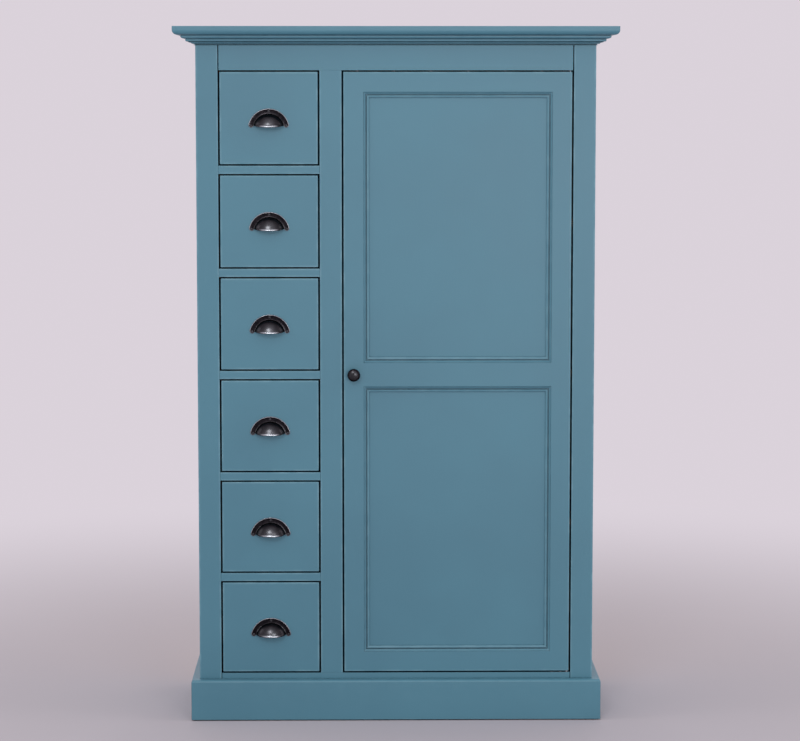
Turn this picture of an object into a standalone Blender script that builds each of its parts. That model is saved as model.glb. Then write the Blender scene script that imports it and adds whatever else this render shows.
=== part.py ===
# Tall painted pine cabinet: a column of inset drawers beside one framed door,
# under a moulded top and on a plinth. Metres, +Z up. The front faces -Y.
# The origin is on the floor, at the middle of the overall box.

import math

import bmesh
import bpy
from mathutils import Vector

# Carcase, measured without the top's overhang and the plinth
BODY_WIDTH = 0.960
BODY_DEPTH = 0.400
SIDE_THICKNESS = 0.020
PARTITION_THICKNESS = 0.020
LINING_THICKNESS = 0.012
BOTTOM_THICKNESS = 0.018
BACK_THICKNESS = 0.008
BACK_REBATE = 0.010
BACK_FOOT_HEIGHT = 0.060
DADO_DEPTH = 0.006

# Face frame
FRAME_THICKNESS = 0.022
STILE_WIDTH = 0.053
TOP_RAIL_REVEAL = 0.062
BOTTOM_RAIL_REVEAL = 0.0132
BOTTOM_RAIL_HEIGHT = 0.060

# Drawer column
DRAWER_COUNT = 6
DRAWER_OPENING_WIDTH = 0.2435
DRAWER_OPENING_HEIGHT = 0.2277
DIVIDER_THICKNESS = 0.020
KICKER_THICKNESS = 0.018

# Drawer
DRAWER_FRONT_THICKNESS = 0.022
DRAWER_SIDE_THICKNESS = 0.012
DRAWER_BACK_THICKNESS = 0.012
DRAWER_BOTTOM_THICKNESS = 0.006
DRAWER_BOTTOM_RAISE = 0.0025
DRAWER_SIDE_CLEARANCE = 0.001
DRAWER_TOP_CLEARANCE = 0.008
DRAWER_BACK_CLEARANCE = 0.006
FRONT_EDGE_RADIUS = 0.0012

# Door
DOOR_STILE_WIDTH = 0.0505
DOOR_TOP_RAIL = 0.050
DOOR_MIDDLE_RAIL = 0.062
DOOR_BOTTOM_RAIL = 0.052
PANEL_THICKNESS = 0.007
PANEL_RECESS = 0.008
PANEL_GROOVE = 0.009
PANEL_PLAY = 0.001

# Moulding round each door panel: a sloped shoulder, a drop, and a small bead on the panel
SHOULDER_WIDTH = 0.0040
SHOULDER_FALL = 0.0025
BEAD_WIDTH = 0.0070
BEAD_HEIGHT = 0.0025

# Shelves and door stop
SHELF_COUNT = 3
SHELF_THICKNESS = 0.018
STOP_THICKNESS = 0.012
STOP_OVERLAP = 0.008

# Plinth
PLINTH_HEIGHT = 0.102
PLINTH_THICKNESS = 0.018
PLINTH_EDGE_RADIUS = 0.005

# Top board and the moulding under it
TOP_THICKNESS = 0.0205
TOP_OVERHANG = 0.052
TOP_NOSE_RADIUS = 0.0115
CORNICE_HEIGHT = 0.0215
CORNICE_OVOLO_WIDTH = 0.011
CORNICE_OVOLO_HEIGHT = 0.009
CORNICE_FILLET_HEIGHT = 0.003
CORNICE_LEDGE_WIDTH = 0.006
CORNICE_COVE_WIDTH = 0.008
CORNICE_COVE_HEIGHT = 0.0075
CORNICE_FOOT_WIDTH = 0.008
CORNICE_FOOT_HEIGHT = 0.001

# Pivot hinge at the top and the bottom of the door
PIVOT_FROM_EDGE = 0.006
PIVOT_FROM_FACE = 0.006
LEAF_LENGTH = 0.045
LEAF_WIDTH = 0.009
LEAF_THICKNESS = 0.0025
PIN_RADIUS = 0.0020
PIN_CLEARANCE = 0.0001
PIN_ENTRY = 0.0020
COLLAR_RADIUS = 0.0038

# Cup pull: a half-ring flange with round ends, and half a dome in front of it
PULL_OUTER_RADIUS = 0.0499
PULL_FLANGE_WIDTH = 0.0127
PULL_FLANGE_THICKNESS = 0.0022
PULL_END_ANGLE = 14.5
PULL_DEPTH = 0.025
PULL_WALL = 0.0016
PULL_LIP_BACK = 0.0095
PULL_LIP_FRONT = 0.0045

# Knob
KNOB_RADIUS = 0.0155
KNOB_BASE_RADIUS = 0.0090
KNOB_NECK_RADIUS = 0.0060
KNOB_PROJECTION = 0.026
KNOB_HEAD_THICKNESS = 0.014
KNOB_BASE_THICKNESS = 0.003

# Gaps
FRONT_GAP = 0.003
SEAT = 0.0003
CUT_OVERRUN = 0.010

# Counts of facets, and the distance under which points are one
ARC_STEPS = 5
PIN_STEPS = 32
DOME_STEPS = 24
PULL_ARC_STEPS = 18
KNOB_STEPS = 28
KNOB_HEAD_STEPS = 9
MERGE_DISTANCE = 0.00002
SHARP_ANGLE = math.radians(35)

# Heights that follow
ZONE_LOW = PLINTH_HEIGHT + BOTTOM_RAIL_REVEAL
DRAWER_PITCH = DRAWER_OPENING_HEIGHT + DIVIDER_THICKNESS
ZONE_HIGH = ZONE_LOW + DRAWER_COUNT * DRAWER_PITCH - DIVIDER_THICKNESS
CORNICE_LOW = ZONE_HIGH + TOP_RAIL_REVEAL
CARCASE_HIGH = CORNICE_LOW + CORNICE_HEIGHT
TOTAL_HEIGHT = CARCASE_HIGH + TOP_THICKNESS

# Places across the width
LEFT = -BODY_WIDTH / 2
RIGHT = BODY_WIDTH / 2
DRAWER_LEFT = LEFT + STILE_WIDTH
DRAWER_RIGHT = DRAWER_LEFT + DRAWER_OPENING_WIDTH
DOOR_LEFT = DRAWER_RIGHT + STILE_WIDTH
DOOR_RIGHT = RIGHT - STILE_WIDTH
PARTITION_RIGHT = DRAWER_RIGHT + PARTITION_THICKNESS
INNER_LEFT = LEFT + SIDE_THICKNESS
INNER_RIGHT = RIGHT - SIDE_THICKNESS

# Places along the depth: the overall box runs from the top's front edge to the back
FACE = -(BODY_DEPTH - TOP_OVERHANG) / 2
BACK = FACE + BODY_DEPTH
BEHIND_FRAME = FACE + FRAME_THICKNESS + SEAT
PANEL_AT = BACK - BACK_THICKNESS

# The door's pivot axis
PIVOT_X = DOOR_RIGHT - FRONT_GAP - PIVOT_FROM_EDGE
PIVOT_Y = FACE + PIVOT_FROM_FACE


def clear_scene():
    for thing in list(bpy.data.objects):
        bpy.data.objects.remove(thing, do_unlink=True)


def new_collection(name):
    group = bpy.data.collections.new(name)
    bpy.context.scene.collection.children.link(group)
    return group


def linear(*shades):
    """Linear colour of three display values from 0 to 255."""
    return tuple((shade / 255) ** 2.2 for shade in shades) + (1.0,)


def new_material(name, colour, roughness, metallic):
    finish = bpy.data.materials.new(name)
    finish.use_nodes = True
    shader = finish.node_tree.nodes["Principled BSDF"]
    shader.inputs["Base Color"].default_value = colour
    shader.inputs["Roughness"].default_value = roughness
    shader.inputs["Metallic"].default_value = metallic
    finish.diffuse_color = colour
    return finish


def make_materials():
    return {
        "paint": new_material("paint", linear(90, 130, 148), 0.45, 0.0),
        "pine": new_material("pine", linear(214, 176, 124), 0.55, 0.0),
        "bronze": new_material("bronze", linear(62, 54, 50), 0.35, 0.9),
        "steel": new_material("steel", linear(170, 170, 172), 0.30, 1.0),
    }


clear_scene()
PARTS = new_collection("drawer_cabinet")
CUTTERS = new_collection("cutters")
MATERIALS = make_materials()


def add_object(name, mesh, place, finish, parent=None):
    """Puts a mesh in the cabinet with its origin at a world place."""
    thing = bpy.data.objects.new(name, mesh)
    PARTS.objects.link(thing)
    if finish and not mesh.materials:
        mesh.materials.append(MATERIALS[finish])
    if parent:
        thing.parent = parent
        place = Vector(place) - parent.location
    thing.location = place
    return thing


def add_mount(name, place):
    """An empty at the start of a slide or on a hinge's axis, which carries the moving pieces."""
    mount = bpy.data.objects.new(name, None)
    mount.empty_display_size = BODY_DEPTH / 8
    mount.location = place
    PARTS.objects.link(mount)
    return mount


def cube_mesh(name, size):
    mesh = bpy.data.meshes.new(name)
    shape = bmesh.new()
    bmesh.ops.create_cube(shape, size=1.0)
    bmesh.ops.scale(shape, vec=size, verts=shape.verts)
    shape.to_mesh(mesh)
    shape.free()
    return mesh


def board(name, low, high, finish, parent=None):
    """A square-edged board between two world corners."""
    low = Vector(low)
    high = Vector(high)
    return add_object(name, cube_mesh(name, high - low), (low + high) / 2, finish, parent)


def use_cutter(target, cutter, operation):
    cutter.hide_render = True
    cutter.display_type = "WIRE"
    PARTS.objects.unlink(cutter)
    CUTTERS.objects.link(cutter)
    change = target.modifiers.new(cutter.name, "BOOLEAN")
    change.operation = operation
    change.solver = "EXACT"
    change.object = cutter


def cut_box(target, label, low, high):
    """Takes the space between two world corners out of a board."""
    cutter = board(f"{label}_in_{target.name}", low, high, None, target.parent)
    use_cutter(target, cutter, "DIFFERENCE")


def cylinder_mesh(name, radius, height):
    mesh = bpy.data.meshes.new(name)
    shape = bmesh.new()
    bmesh.ops.create_cone(
        shape, cap_ends=True, segments=PIN_STEPS, radius1=radius, radius2=radius, depth=height
    )
    shape.to_mesh(mesh)
    shape.free()
    return mesh


def soften(thing, radius):
    """Rounds every edge of a board."""
    rounding = thing.modifiers.new("rounding", "BEVEL")
    rounding.width = radius
    rounding.segments = 2
    rounding.limit_method = "ANGLE"


def divider_low(level):
    """Height of the underside of the divider under drawer number level, counted from the top."""
    return ZONE_HIGH - level * DRAWER_PITCH


def opening_low(level):
    """Height of the floor of drawer opening number level, counted from the top."""
    return ZONE_HIGH - level * DRAWER_PITCH + DIVIDER_THICKNESS


def shelf_low(level):
    """Height of the underside of shelf number level, counted from the top."""
    step = (ZONE_HIGH - ZONE_LOW) / (SHELF_COUNT + 1)
    return ZONE_HIGH - level * step - SHELF_THICKNESS / 2


def divider_heights():
    """Underside and top of each board that crosses the drawer bay, the kicker last."""
    heights = [(divider_low(level), opening_low(level)) for level in range(1, DRAWER_COUNT)]
    heights.append((ZONE_HIGH, ZONE_HIGH + KICKER_THICKNESS))
    return heights


def shelf_heights():
    return [
        (shelf_low(level), shelf_low(level) + SHELF_THICKNESS) for level in range(1, SHELF_COUNT + 1)
    ]


def cut_dadoes(target, wall, inwards, heights, label):
    """Cuts a groove for each crossing board into the face of an upright at x = wall.
    inwards is +1 where the upright lies at larger x, or -1."""
    sides = sorted((wall - inwards * CUT_OVERRUN, wall + inwards * DADO_DEPTH))
    for number, (low, high) in enumerate(heights, start=1):
        cut_box(
            target,
            f"{label}_{number}",
            (sides[0], BEHIND_FRAME - CUT_OVERRUN, low - SEAT),
            (sides[1], PANEL_AT + CUT_OVERRUN, high + SEAT),
        )


def make_sides():
    bottom_groove = [(ZONE_LOW - BOTTOM_THICKNESS, ZONE_LOW)]
    rows = (
        ("side_left", LEFT, INNER_LEFT, -1, bottom_groove),
        ("side_right", INNER_RIGHT, RIGHT, 1, bottom_groove + shelf_heights()),
    )
    for name, low_x, high_x, inwards, grooves in rows:
        side = board(
            name,
            (low_x, BEHIND_FRAME, 0),
            (high_x, BACK, CARCASE_HIGH - SEAT),
            "paint",
        )
        wall = high_x if inwards < 0 else low_x
        cut_dadoes(side, wall, inwards, grooves, "dado")
        rebate = sorted((wall - inwards * CUT_OVERRUN, wall + inwards * BACK_REBATE))
        cut_box(
            side,
            "back_rebate",
            (rebate[0], PANEL_AT - SEAT, BACK_FOOT_HEIGHT - SEAT),
            (rebate[1], BACK + CUT_OVERRUN, CARCASE_HIGH + CUT_OVERRUN),
        )


def make_partition():
    partition = board(
        "partition",
        (DRAWER_RIGHT, BEHIND_FRAME, ZONE_LOW + SEAT),
        (PARTITION_RIGHT, PANEL_AT - SEAT, CARCASE_HIGH - SEAT),
        "pine",
    )
    cut_dadoes(partition, DRAWER_RIGHT, 1, divider_heights(), "drawer_dado")
    cut_dadoes(partition, PARTITION_RIGHT, -1, shelf_heights(), "shelf_dado")


def make_lining():
    """The upright beside the drawers, level with the edge of the left stile."""
    lining = board(
        "drawer_bay_lining",
        (DRAWER_LEFT - LINING_THICKNESS, BEHIND_FRAME, ZONE_LOW + SEAT),
        (DRAWER_LEFT, PANEL_AT - SEAT, CARCASE_HIGH - SEAT),
        "pine",
    )
    cut_dadoes(lining, DRAWER_LEFT, -1, divider_heights(), "drawer_dado")


def make_bottom():
    board(
        "bottom_board",
        (INNER_LEFT - DADO_DEPTH + SEAT, BEHIND_FRAME, ZONE_LOW - BOTTOM_THICKNESS),
        (INNER_RIGHT + DADO_DEPTH - SEAT, PANEL_AT - SEAT, ZONE_LOW),
        "pine",
    )


def make_back():
    board(
        "back_panel",
        (INNER_LEFT - BACK_REBATE + SEAT, PANEL_AT, BACK_FOOT_HEIGHT),
        (INNER_RIGHT + BACK_REBATE - SEAT, BACK, CARCASE_HIGH - SEAT),
        "pine",
    )


def make_face_frame():
    low_rail = ZONE_LOW - BOTTOM_RAIL_HEIGHT
    rows = (
        ("stile_left", LEFT, DRAWER_LEFT, 0, CARCASE_HIGH - SEAT),
        ("stile_right", DOOR_RIGHT, RIGHT, 0, CARCASE_HIGH - SEAT),
        ("stile_middle", DRAWER_RIGHT, DOOR_LEFT, ZONE_LOW + SEAT, ZONE_HIGH - SEAT),
        ("top_rail", DRAWER_LEFT + SEAT, DOOR_RIGHT - SEAT, ZONE_HIGH, CARCASE_HIGH - SEAT),
        ("bottom_rail", DRAWER_LEFT + SEAT, DOOR_RIGHT - SEAT, low_rail, ZONE_LOW),
    )
    members = {}
    for name, low_x, high_x, low_z, high_z in rows:
        members[name] = board(
            name, (low_x, FACE, low_z), (high_x, FACE + FRAME_THICKNESS, high_z), "paint"
        )
    return members


def make_dividers():
    """Each board's front edge shows between two drawers. Behind the face frame the board
    widens into the grooves of the lining and the partition."""
    for number, (low, high) in enumerate(divider_heights(), start=1):
        kicker = number == DRAWER_COUNT
        name = "drawer_kicker" if kicker else f"drawer_divider_{number}"
        divider = board(
            name,
            (DRAWER_LEFT - DADO_DEPTH + SEAT, BEHIND_FRAME if kicker else FACE, low),
            (DRAWER_RIGHT + DADO_DEPTH - SEAT, PANEL_AT - SEAT, high),
            "pine" if kicker else "paint",
        )
        if kicker:
            continue
        for label, edge, outwards in (("left", DRAWER_LEFT, -1), ("right", DRAWER_RIGHT, 1)):
            span = sorted((edge - outwards * SEAT, edge + outwards * CUT_OVERRUN))
            cut_box(
                divider,
                f"{label}_notch",
                (span[0], FACE - CUT_OVERRUN, low - CUT_OVERRUN),
                (span[1], BEHIND_FRAME, high + CUT_OVERRUN),
            )


def make_shelves():
    for number, (low, high) in enumerate(shelf_heights(), start=1):
        board(
            f"shelf_{number}",
            (PARTITION_RIGHT - DADO_DEPTH + SEAT, BEHIND_FRAME + STOP_THICKNESS + SEAT, low),
            (INNER_RIGHT + DADO_DEPTH - SEAT, PANEL_AT - SEAT, high),
            "pine",
        )


def make_door_stop():
    """A strip behind the middle stile, which the door's free edge closes against."""
    board(
        "door_stop",
        (PARTITION_RIGHT + SEAT, BEHIND_FRAME, ZONE_LOW + SEAT),
        (DOOR_LEFT + STOP_OVERLAP, BEHIND_FRAME + STOP_THICKNESS, ZONE_HIGH - SEAT),
        "pine",
    )


def arc_points(centre, radii, start, end, steps):
    """Points along an elliptic arc, with angles in degrees."""
    points = []
    for index in range(steps + 1):
        angle = math.radians(start + (end - start) * index / steps)
        points.append(
            (centre[0] + radii[0] * math.cos(angle), centre[1] + radii[1] * math.sin(angle))
        )
    return points


def mitred_lengths(names, path, outline, low_z, finish):
    """Carries an outline of (out, up) points along each straight run of a path in plan.
    Runs that meet at a corner are mitred, and each is a piece of its own. The path goes
    round with the outside on its right hand."""
    directions = [(path[i + 1] - path[i]).normalized() for i in range(len(path) - 1)]
    outwards = [Vector((step.y, -step.x)) for step in directions]
    mitres = [outwards[0]]
    for before, after in zip(outwards, outwards[1:]):
        mitres.append((before + after) / (1 + before.dot(after)))
    mitres.append(outwards[-1])
    for index, name in enumerate(names):
        shape = bmesh.new()
        ends = []
        for corner, way in ((index, 1), (index + 1, -1)):
            inner_corner = 0 < corner < len(path) - 1
            setback = directions[index] * (way * SEAT / math.sqrt(2) if inner_corner else 0)
            ring = []
            for out, up in outline:
                spot = path[corner] + setback + mitres[corner] * out
                ring.append(shape.verts.new((spot.x, spot.y, low_z + up)))
            ends.append(ring)
        close_loft(shape, ends)
        middle = (path[index] + path[index + 1]) / 2
        add_lofted(name, shape, Vector((middle.x, middle.y, low_z)), finish)


def close_loft(shape, rings, closed=False):
    """Joins rings of points with quads, and caps the two ends of an open run."""
    pairs = list(zip(rings, rings[1:]))
    if closed:
        pairs.append((rings[-1], rings[0]))
    else:
        shape.faces.new(rings[0])
        shape.faces.new(list(reversed(rings[-1])))
    count = len(rings[0])
    for near, far in pairs:
        for index in range(count):
            follow = (index + 1) % count
            shape.faces.new((near[index], far[index], far[follow], near[follow]))
    bmesh.ops.recalc_face_normals(shape, faces=shape.faces)


def add_lofted(name, shape, origin, finish, parent=None):
    """Turns a shape drawn in world places into an object with its own origin."""
    bmesh.ops.translate(shape, vec=-origin, verts=shape.verts)
    mesh = bpy.data.meshes.new(name)
    shape.to_mesh(mesh)
    shape.free()
    return add_object(name, mesh, origin, finish, parent)


def body_path(standoff):
    """Path in plan along the left side, the front and the right side of the body."""
    left = LEFT - standoff
    right = RIGHT + standoff
    front = FACE - standoff
    return [Vector(spot) for spot in ((left, BACK), (left, front), (right, front), (right, BACK))]


def make_plinth():
    radius = PLINTH_EDGE_RADIUS
    centre = (PLINTH_THICKNESS - radius, PLINTH_HEIGHT - radius)
    outline = [(SEAT, 0), (PLINTH_THICKNESS, 0)]
    outline += arc_points(centre, (radius, radius), 0, 90, ARC_STEPS)
    outline.append((SEAT, PLINTH_HEIGHT))
    names = ("plinth_left", "plinth_front", "plinth_right")
    mitred_lengths(names, body_path(0), outline, 0, "paint")


def cornice_outline():
    """From the body out: a foot, a cove, a ledge, a fillet, an ovolo and the top."""
    outline = [(SEAT, 0), (CORNICE_FOOT_WIDTH, 0)]
    cove_centre = (CORNICE_FOOT_WIDTH + CORNICE_COVE_WIDTH, CORNICE_FOOT_HEIGHT)
    outline += arc_points(
        cove_centre, (CORNICE_COVE_WIDTH, CORNICE_COVE_HEIGHT), 180, 90, ARC_STEPS
    )
    fillet_at = cove_centre[0] + CORNICE_LEDGE_WIDTH
    ledge_high = CORNICE_FOOT_HEIGHT + CORNICE_COVE_HEIGHT
    outline.append((fillet_at, ledge_high))
    ovolo_low = ledge_high + CORNICE_FILLET_HEIGHT
    ovolo_centre = (fillet_at, ovolo_low + CORNICE_OVOLO_HEIGHT)
    outline += arc_points(
        ovolo_centre, (CORNICE_OVOLO_WIDTH, CORNICE_OVOLO_HEIGHT), -90, 0, ARC_STEPS
    )
    top = CORNICE_HEIGHT - SEAT
    outline.append((fillet_at + CORNICE_OVOLO_WIDTH, top))
    outline.append((SEAT, top))
    return outline


def make_cornice():
    names = ("cornice_moulding_left", "cornice_moulding_front", "cornice_moulding_right")
    mitred_lengths(names, body_path(0), cornice_outline(), CORNICE_LOW, "paint")


def make_top():
    """The top board overhangs at the front and both sides, where its lower edge is rounded."""
    top = board(
        "top_board",
        (LEFT - TOP_OVERHANG, FACE - TOP_OVERHANG, CARCASE_HIGH),
        (RIGHT + TOP_OVERHANG, BACK, TOTAL_HEIGHT),
        "paint",
    )
    weights = top.data.attributes.new("bevel_weight_edge", "FLOAT", "EDGE")
    for edge in top.data.edges:
        ends = [top.data.vertices[index].co for index in edge.vertices]
        low = all(end.z < 0 for end in ends)
        at_back = all(end.y > 0 for end in ends)
        weights.data[edge.index].value = 1.0 if low and not at_back else 0.0
    nose = top.modifiers.new("nose", "BEVEL")
    nose.limit_method = "WEIGHT"
    nose.width = TOP_NOSE_RADIUS
    nose.segments = ARC_STEPS


def door_bounds():
    return {
        "left": DOOR_LEFT + FRONT_GAP,
        "right": DOOR_RIGHT - FRONT_GAP,
        "low": ZONE_LOW + FRONT_GAP,
        "high": ZONE_HIGH - FRONT_GAP,
    }


def door_panel_openings():
    """Left, right, low and high of the two openings in the door's frame, the upper one first."""
    door = door_bounds()
    left = door["left"] + DOOR_STILE_WIDTH
    right = door["right"] - DOOR_STILE_WIDTH
    rails = DOOR_TOP_RAIL + DOOR_MIDDLE_RAIL + DOOR_BOTTOM_RAIL
    height = (door["high"] - door["low"] - rails) / 2
    upper_high = door["high"] - DOOR_TOP_RAIL
    lower_low = door["low"] + DOOR_BOTTOM_RAIL
    return [
        (left, right, upper_high - height, upper_high),
        (left, right, lower_low, lower_low + height),
    ]


def make_door(pivot):
    door = door_bounds()
    upper, lower = door_panel_openings()
    inner_left, inner_right = upper[0], upper[1]
    back = FACE + FRAME_THICKNESS
    rows = (
        ("door_stile_lock", door["left"], inner_left, door["low"], door["high"]),
        ("door_stile_hinge", inner_right, door["right"], door["low"], door["high"]),
        ("door_rail_top", inner_left + SEAT, inner_right - SEAT, upper[3], door["high"]),
        ("door_rail_middle", inner_left + SEAT, inner_right - SEAT, lower[3], upper[2]),
        ("door_rail_bottom", inner_left + SEAT, inner_right - SEAT, door["low"], lower[2]),
    )
    members = {}
    for name, low_x, high_x, low_z, high_z in rows:
        members[name] = board(name, (low_x, FACE, low_z), (high_x, back, high_z), "paint", pivot)
    panel_front = FACE + PANEL_RECESS
    panel_back = panel_front + PANEL_THICKNESS
    edge = PANEL_GROOVE - PANEL_PLAY
    for label, (left, right, low, high) in (("upper", upper), ("lower", lower)):
        board(
            f"door_panel_{label}",
            (left - edge, panel_front, low - edge),
            (right + edge, panel_back, high + edge),
            "paint",
            pivot,
        )
        for name, member in members.items():
            if (label == "upper" and name == "door_rail_bottom") or (
                label == "lower" and name == "door_rail_top"
            ):
                continue
            cut_box(
                member,
                f"{label}_groove",
                (left - PANEL_GROOVE, panel_front - SEAT, low - PANEL_GROOVE),
                (right + PANEL_GROOVE, panel_back + SEAT, high + PANEL_GROOVE),
            )
        make_panel_moulding(label, (left, right, low, high), panel_front, pivot)
    return members


def panel_moulding_outline():
    """Points of (in from the frame's edge, forward of the panel)."""
    full = PANEL_RECESS - SEAT
    outline = [(SEAT, SEAT), (SEAT, full), (SHOULDER_WIDTH, full - SHOULDER_FALL)]
    centre = (SHOULDER_WIDTH + BEAD_WIDTH / 2, SEAT)
    outline += arc_points(centre, (BEAD_WIDTH / 2, BEAD_HEIGHT), 150, 0, ARC_STEPS)
    return outline


def make_panel_moulding(label, opening, panel_front, pivot):
    left, right, low, high = opening
    corners = ((left, low, 1, 1), (right, low, -1, 1), (right, high, -1, -1), (left, high, 1, -1))
    shape = bmesh.new()
    rings = []
    for x, z, inwards_x, inwards_z in corners:
        ring = [
            shape.verts.new((x + inwards_x * reach, panel_front - rise, z + inwards_z * reach))
            for reach, rise in panel_moulding_outline()
        ]
        rings.append(ring)
    close_loft(shape, rings, closed=True)
    centre = Vector(((left + right) / 2, panel_front, (low + high) / 2))
    add_lofted(f"panel_moulding_{label}", shape, centre, "paint", pivot)


def leaf_mesh(name, side, stud_radius, stud_height, hole_radius):
    """A flat hinge leaf about its pivot point, with a stud standing on it or a hole in it.
    side is +1 where the stud rises from the leaf, or -1 where it hangs."""
    end = LEAF_WIDTH / 2
    low = Vector((end - LEAF_LENGTH, -end, -LEAF_THICKNESS if side > 0 else 0))
    high = Vector((end, end, 0 if side > 0 else LEAF_THICKNESS))
    leaf = add_object(name, cube_mesh(name, high - low), (low + high) / 2, "steel")
    reach = LEAF_THICKNESS / 2
    if hole_radius:
        drill = add_object(
            f"{name}_hole",
            cylinder_mesh(f"{name}_hole", hole_radius, LEAF_THICKNESS + CUT_OVERRUN),
            (0, 0, (low.z + high.z) / 2),
            None,
        )
        use_cutter(leaf, drill, "DIFFERENCE")
    for number, (radius, height) in enumerate(zip(stud_radius, stud_height), start=1):
        stud = add_object(
            f"{name}_stud_{number}",
            cylinder_mesh(f"{name}_stud_{number}", radius, height + reach),
            (0, 0, side * (height - reach) / 2),
            None,
        )
        use_cutter(leaf, stud, "UNION")
    return baked_mesh(leaf, name)


def baked_mesh(thing, name):
    """The evaluated mesh of an object, about the world origin. The object is removed."""
    bpy.context.view_layer.update()
    graph = bpy.context.evaluated_depsgraph_get()
    mesh = bpy.data.meshes.new_from_object(thing.evaluated_get(graph), depsgraph=graph)
    mesh.transform(thing.matrix_world)
    mesh.name = name
    tools = [change.object for change in thing.modifiers if change.type == "BOOLEAN"]
    for used in tools + [thing]:
        bpy.data.objects.remove(used, do_unlink=True)
    return mesh


def make_hinges(frame, door, pivot):
    """At each end of the door a leaf with a pin is let into the rail of the face frame, and
    a leaf with a hole into the end of the door's stile. The lower pin has a collar that
    carries the door."""
    bounds = door_bounds()
    pin = FRONT_GAP + PIN_ENTRY
    collar = FRONT_GAP - SEAT
    rows = (
        ("top", frame["top_rail"], ZONE_HIGH, bounds["high"], -1, (PIN_RADIUS,), (pin,)),
        (
            "bottom",
            frame["bottom_rail"],
            ZONE_LOW,
            bounds["low"],
            1,
            (PIN_RADIUS, COLLAR_RADIUS),
            (pin, collar),
        ),
    )
    end = LEAF_WIDTH / 2
    for label, rail, rail_z, door_z, side, radii, heights in rows:
        fixed = leaf_mesh(f"leaf_with_pin_{label}", side, radii, heights, 0)
        moving = leaf_mesh(f"leaf_with_hole_{label}", -side, (), (), PIN_RADIUS + PIN_CLEARANCE)
        add_object(f"hinge_{label}_frame_leaf", fixed, (PIVOT_X, PIVOT_Y, rail_z), "steel")
        add_object(f"hinge_{label}_door_leaf", moving, (PIVOT_X, PIVOT_Y, door_z), "steel", pivot)
        for member, level, way in (
            (rail, rail_z, -side),
            (door["door_stile_hinge"], door_z, side),
        ):
            depth = LEAF_THICKNESS + SEAT
            span = sorted((level - way * CUT_OVERRUN, level + way * depth))
            cut_box(
                member,
                f"hinge_{label}_mortise",
                (PIVOT_X + end - LEAF_LENGTH - SEAT, PIVOT_Y - end - SEAT, span[0]),
                (PIVOT_X + end + SEAT, PIVOT_Y + end + SEAT, span[1]),
            )


def knob_profile():
    """Radius and distance from the door's face, from the front of the head to the base."""
    head_centre = (0, KNOB_PROJECTION - KNOB_HEAD_THICKNESS / 2)
    head_radii = (KNOB_RADIUS, KNOB_HEAD_THICKNESS / 2)
    head = arc_points(head_centre, head_radii, 90, -60, KNOB_HEAD_STEPS)
    points = [(max(radius, 0), out) for radius, out in head]
    points.append((KNOB_NECK_RADIUS, head_centre[1] - KNOB_HEAD_THICKNESS / 2))
    points.append((KNOB_NECK_RADIUS, KNOB_BASE_THICKNESS))
    points.append((KNOB_BASE_RADIUS, KNOB_BASE_THICKNESS))
    points.append((KNOB_BASE_RADIUS, SEAT))
    points.append((0, SEAT))
    return points


def make_knob(pivot):
    mesh = bpy.data.meshes.new("door_knob")
    shape = bmesh.new()
    spots = [shape.verts.new((radius, 0, out)) for radius, out in knob_profile()]
    for near, far in zip(spots, spots[1:]):
        shape.edges.new((near, far))
    shape.to_mesh(mesh)
    shape.free()
    upper, lower = door_panel_openings()
    place = (
        door_bounds()["left"] + DOOR_STILE_WIDTH / 2,
        FACE,
        (upper[2] + lower[3]) / 2,
    )
    knob = add_object("door_knob", mesh, place, "bronze", pivot)
    knob.rotation_euler.x = math.radians(90)
    turn = knob.modifiers.new("turn", "SCREW")
    turn.steps = turn.render_steps = KNOB_STEPS
    turn.use_merge_vertices = True
    turn.merge_threshold = MERGE_DISTANCE


def pull_flange():
    """The half ring behind the dome, with round ends, drawn flat and stood up."""
    inner = PULL_OUTER_RADIUS - PULL_FLANGE_WIDTH
    middle = PULL_OUTER_RADIUS - PULL_FLANGE_WIDTH / 2
    end_radius = PULL_FLANGE_WIDTH / 2
    first, last = PULL_END_ANGLE, 180 - PULL_END_ANGLE
    outline = arc_points((0, 0), (PULL_OUTER_RADIUS,) * 2, first, last, PULL_ARC_STEPS)
    for angle, start in ((last, last), (first, first + 180)):
        centre = (middle * math.cos(math.radians(angle)), middle * math.sin(math.radians(angle)))
        outline += arc_points(centre, (end_radius,) * 2, start, start + 180, ARC_STEPS + 1)[1:-1]
        if angle == last:
            outline += arc_points((0, 0), (inner,) * 2, last, first, PULL_ARC_STEPS)
    drawing = bpy.data.curves.new("pull_flange", "CURVE")
    drawing.dimensions = "2D"
    drawing.fill_mode = "BOTH"
    drawing.extrude = PULL_FLANGE_THICKNESS / 2
    spline = drawing.splines.new("POLY")
    spline.points.add(len(outline) - 1)
    for point, (x, y) in zip(spline.points, outline):
        point.co = (x, y, 0, 1)
    spline.use_cyclic_u = True
    flat = add_object("pull_flange_drawing", drawing, (0, 0, 0), None)
    bpy.context.view_layer.update()
    graph = bpy.context.evaluated_depsgraph_get()
    mesh = bpy.data.meshes.new_from_object(flat.evaluated_get(graph), depsgraph=graph)
    bpy.data.objects.remove(flat, do_unlink=True)
    shape = bmesh.new()
    shape.from_mesh(mesh)
    bmesh.ops.remove_doubles(shape, verts=shape.verts, dist=MERGE_DISTANCE)
    bmesh.ops.recalc_face_normals(shape, faces=shape.faces)
    shape.to_mesh(mesh)
    shape.free()
    flange = add_object("pull_flange", mesh, (0, -PULL_FLANGE_THICKNESS / 2 - SEAT, 0), None)
    flange.rotation_euler.x = math.radians(90)
    return flange


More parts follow.
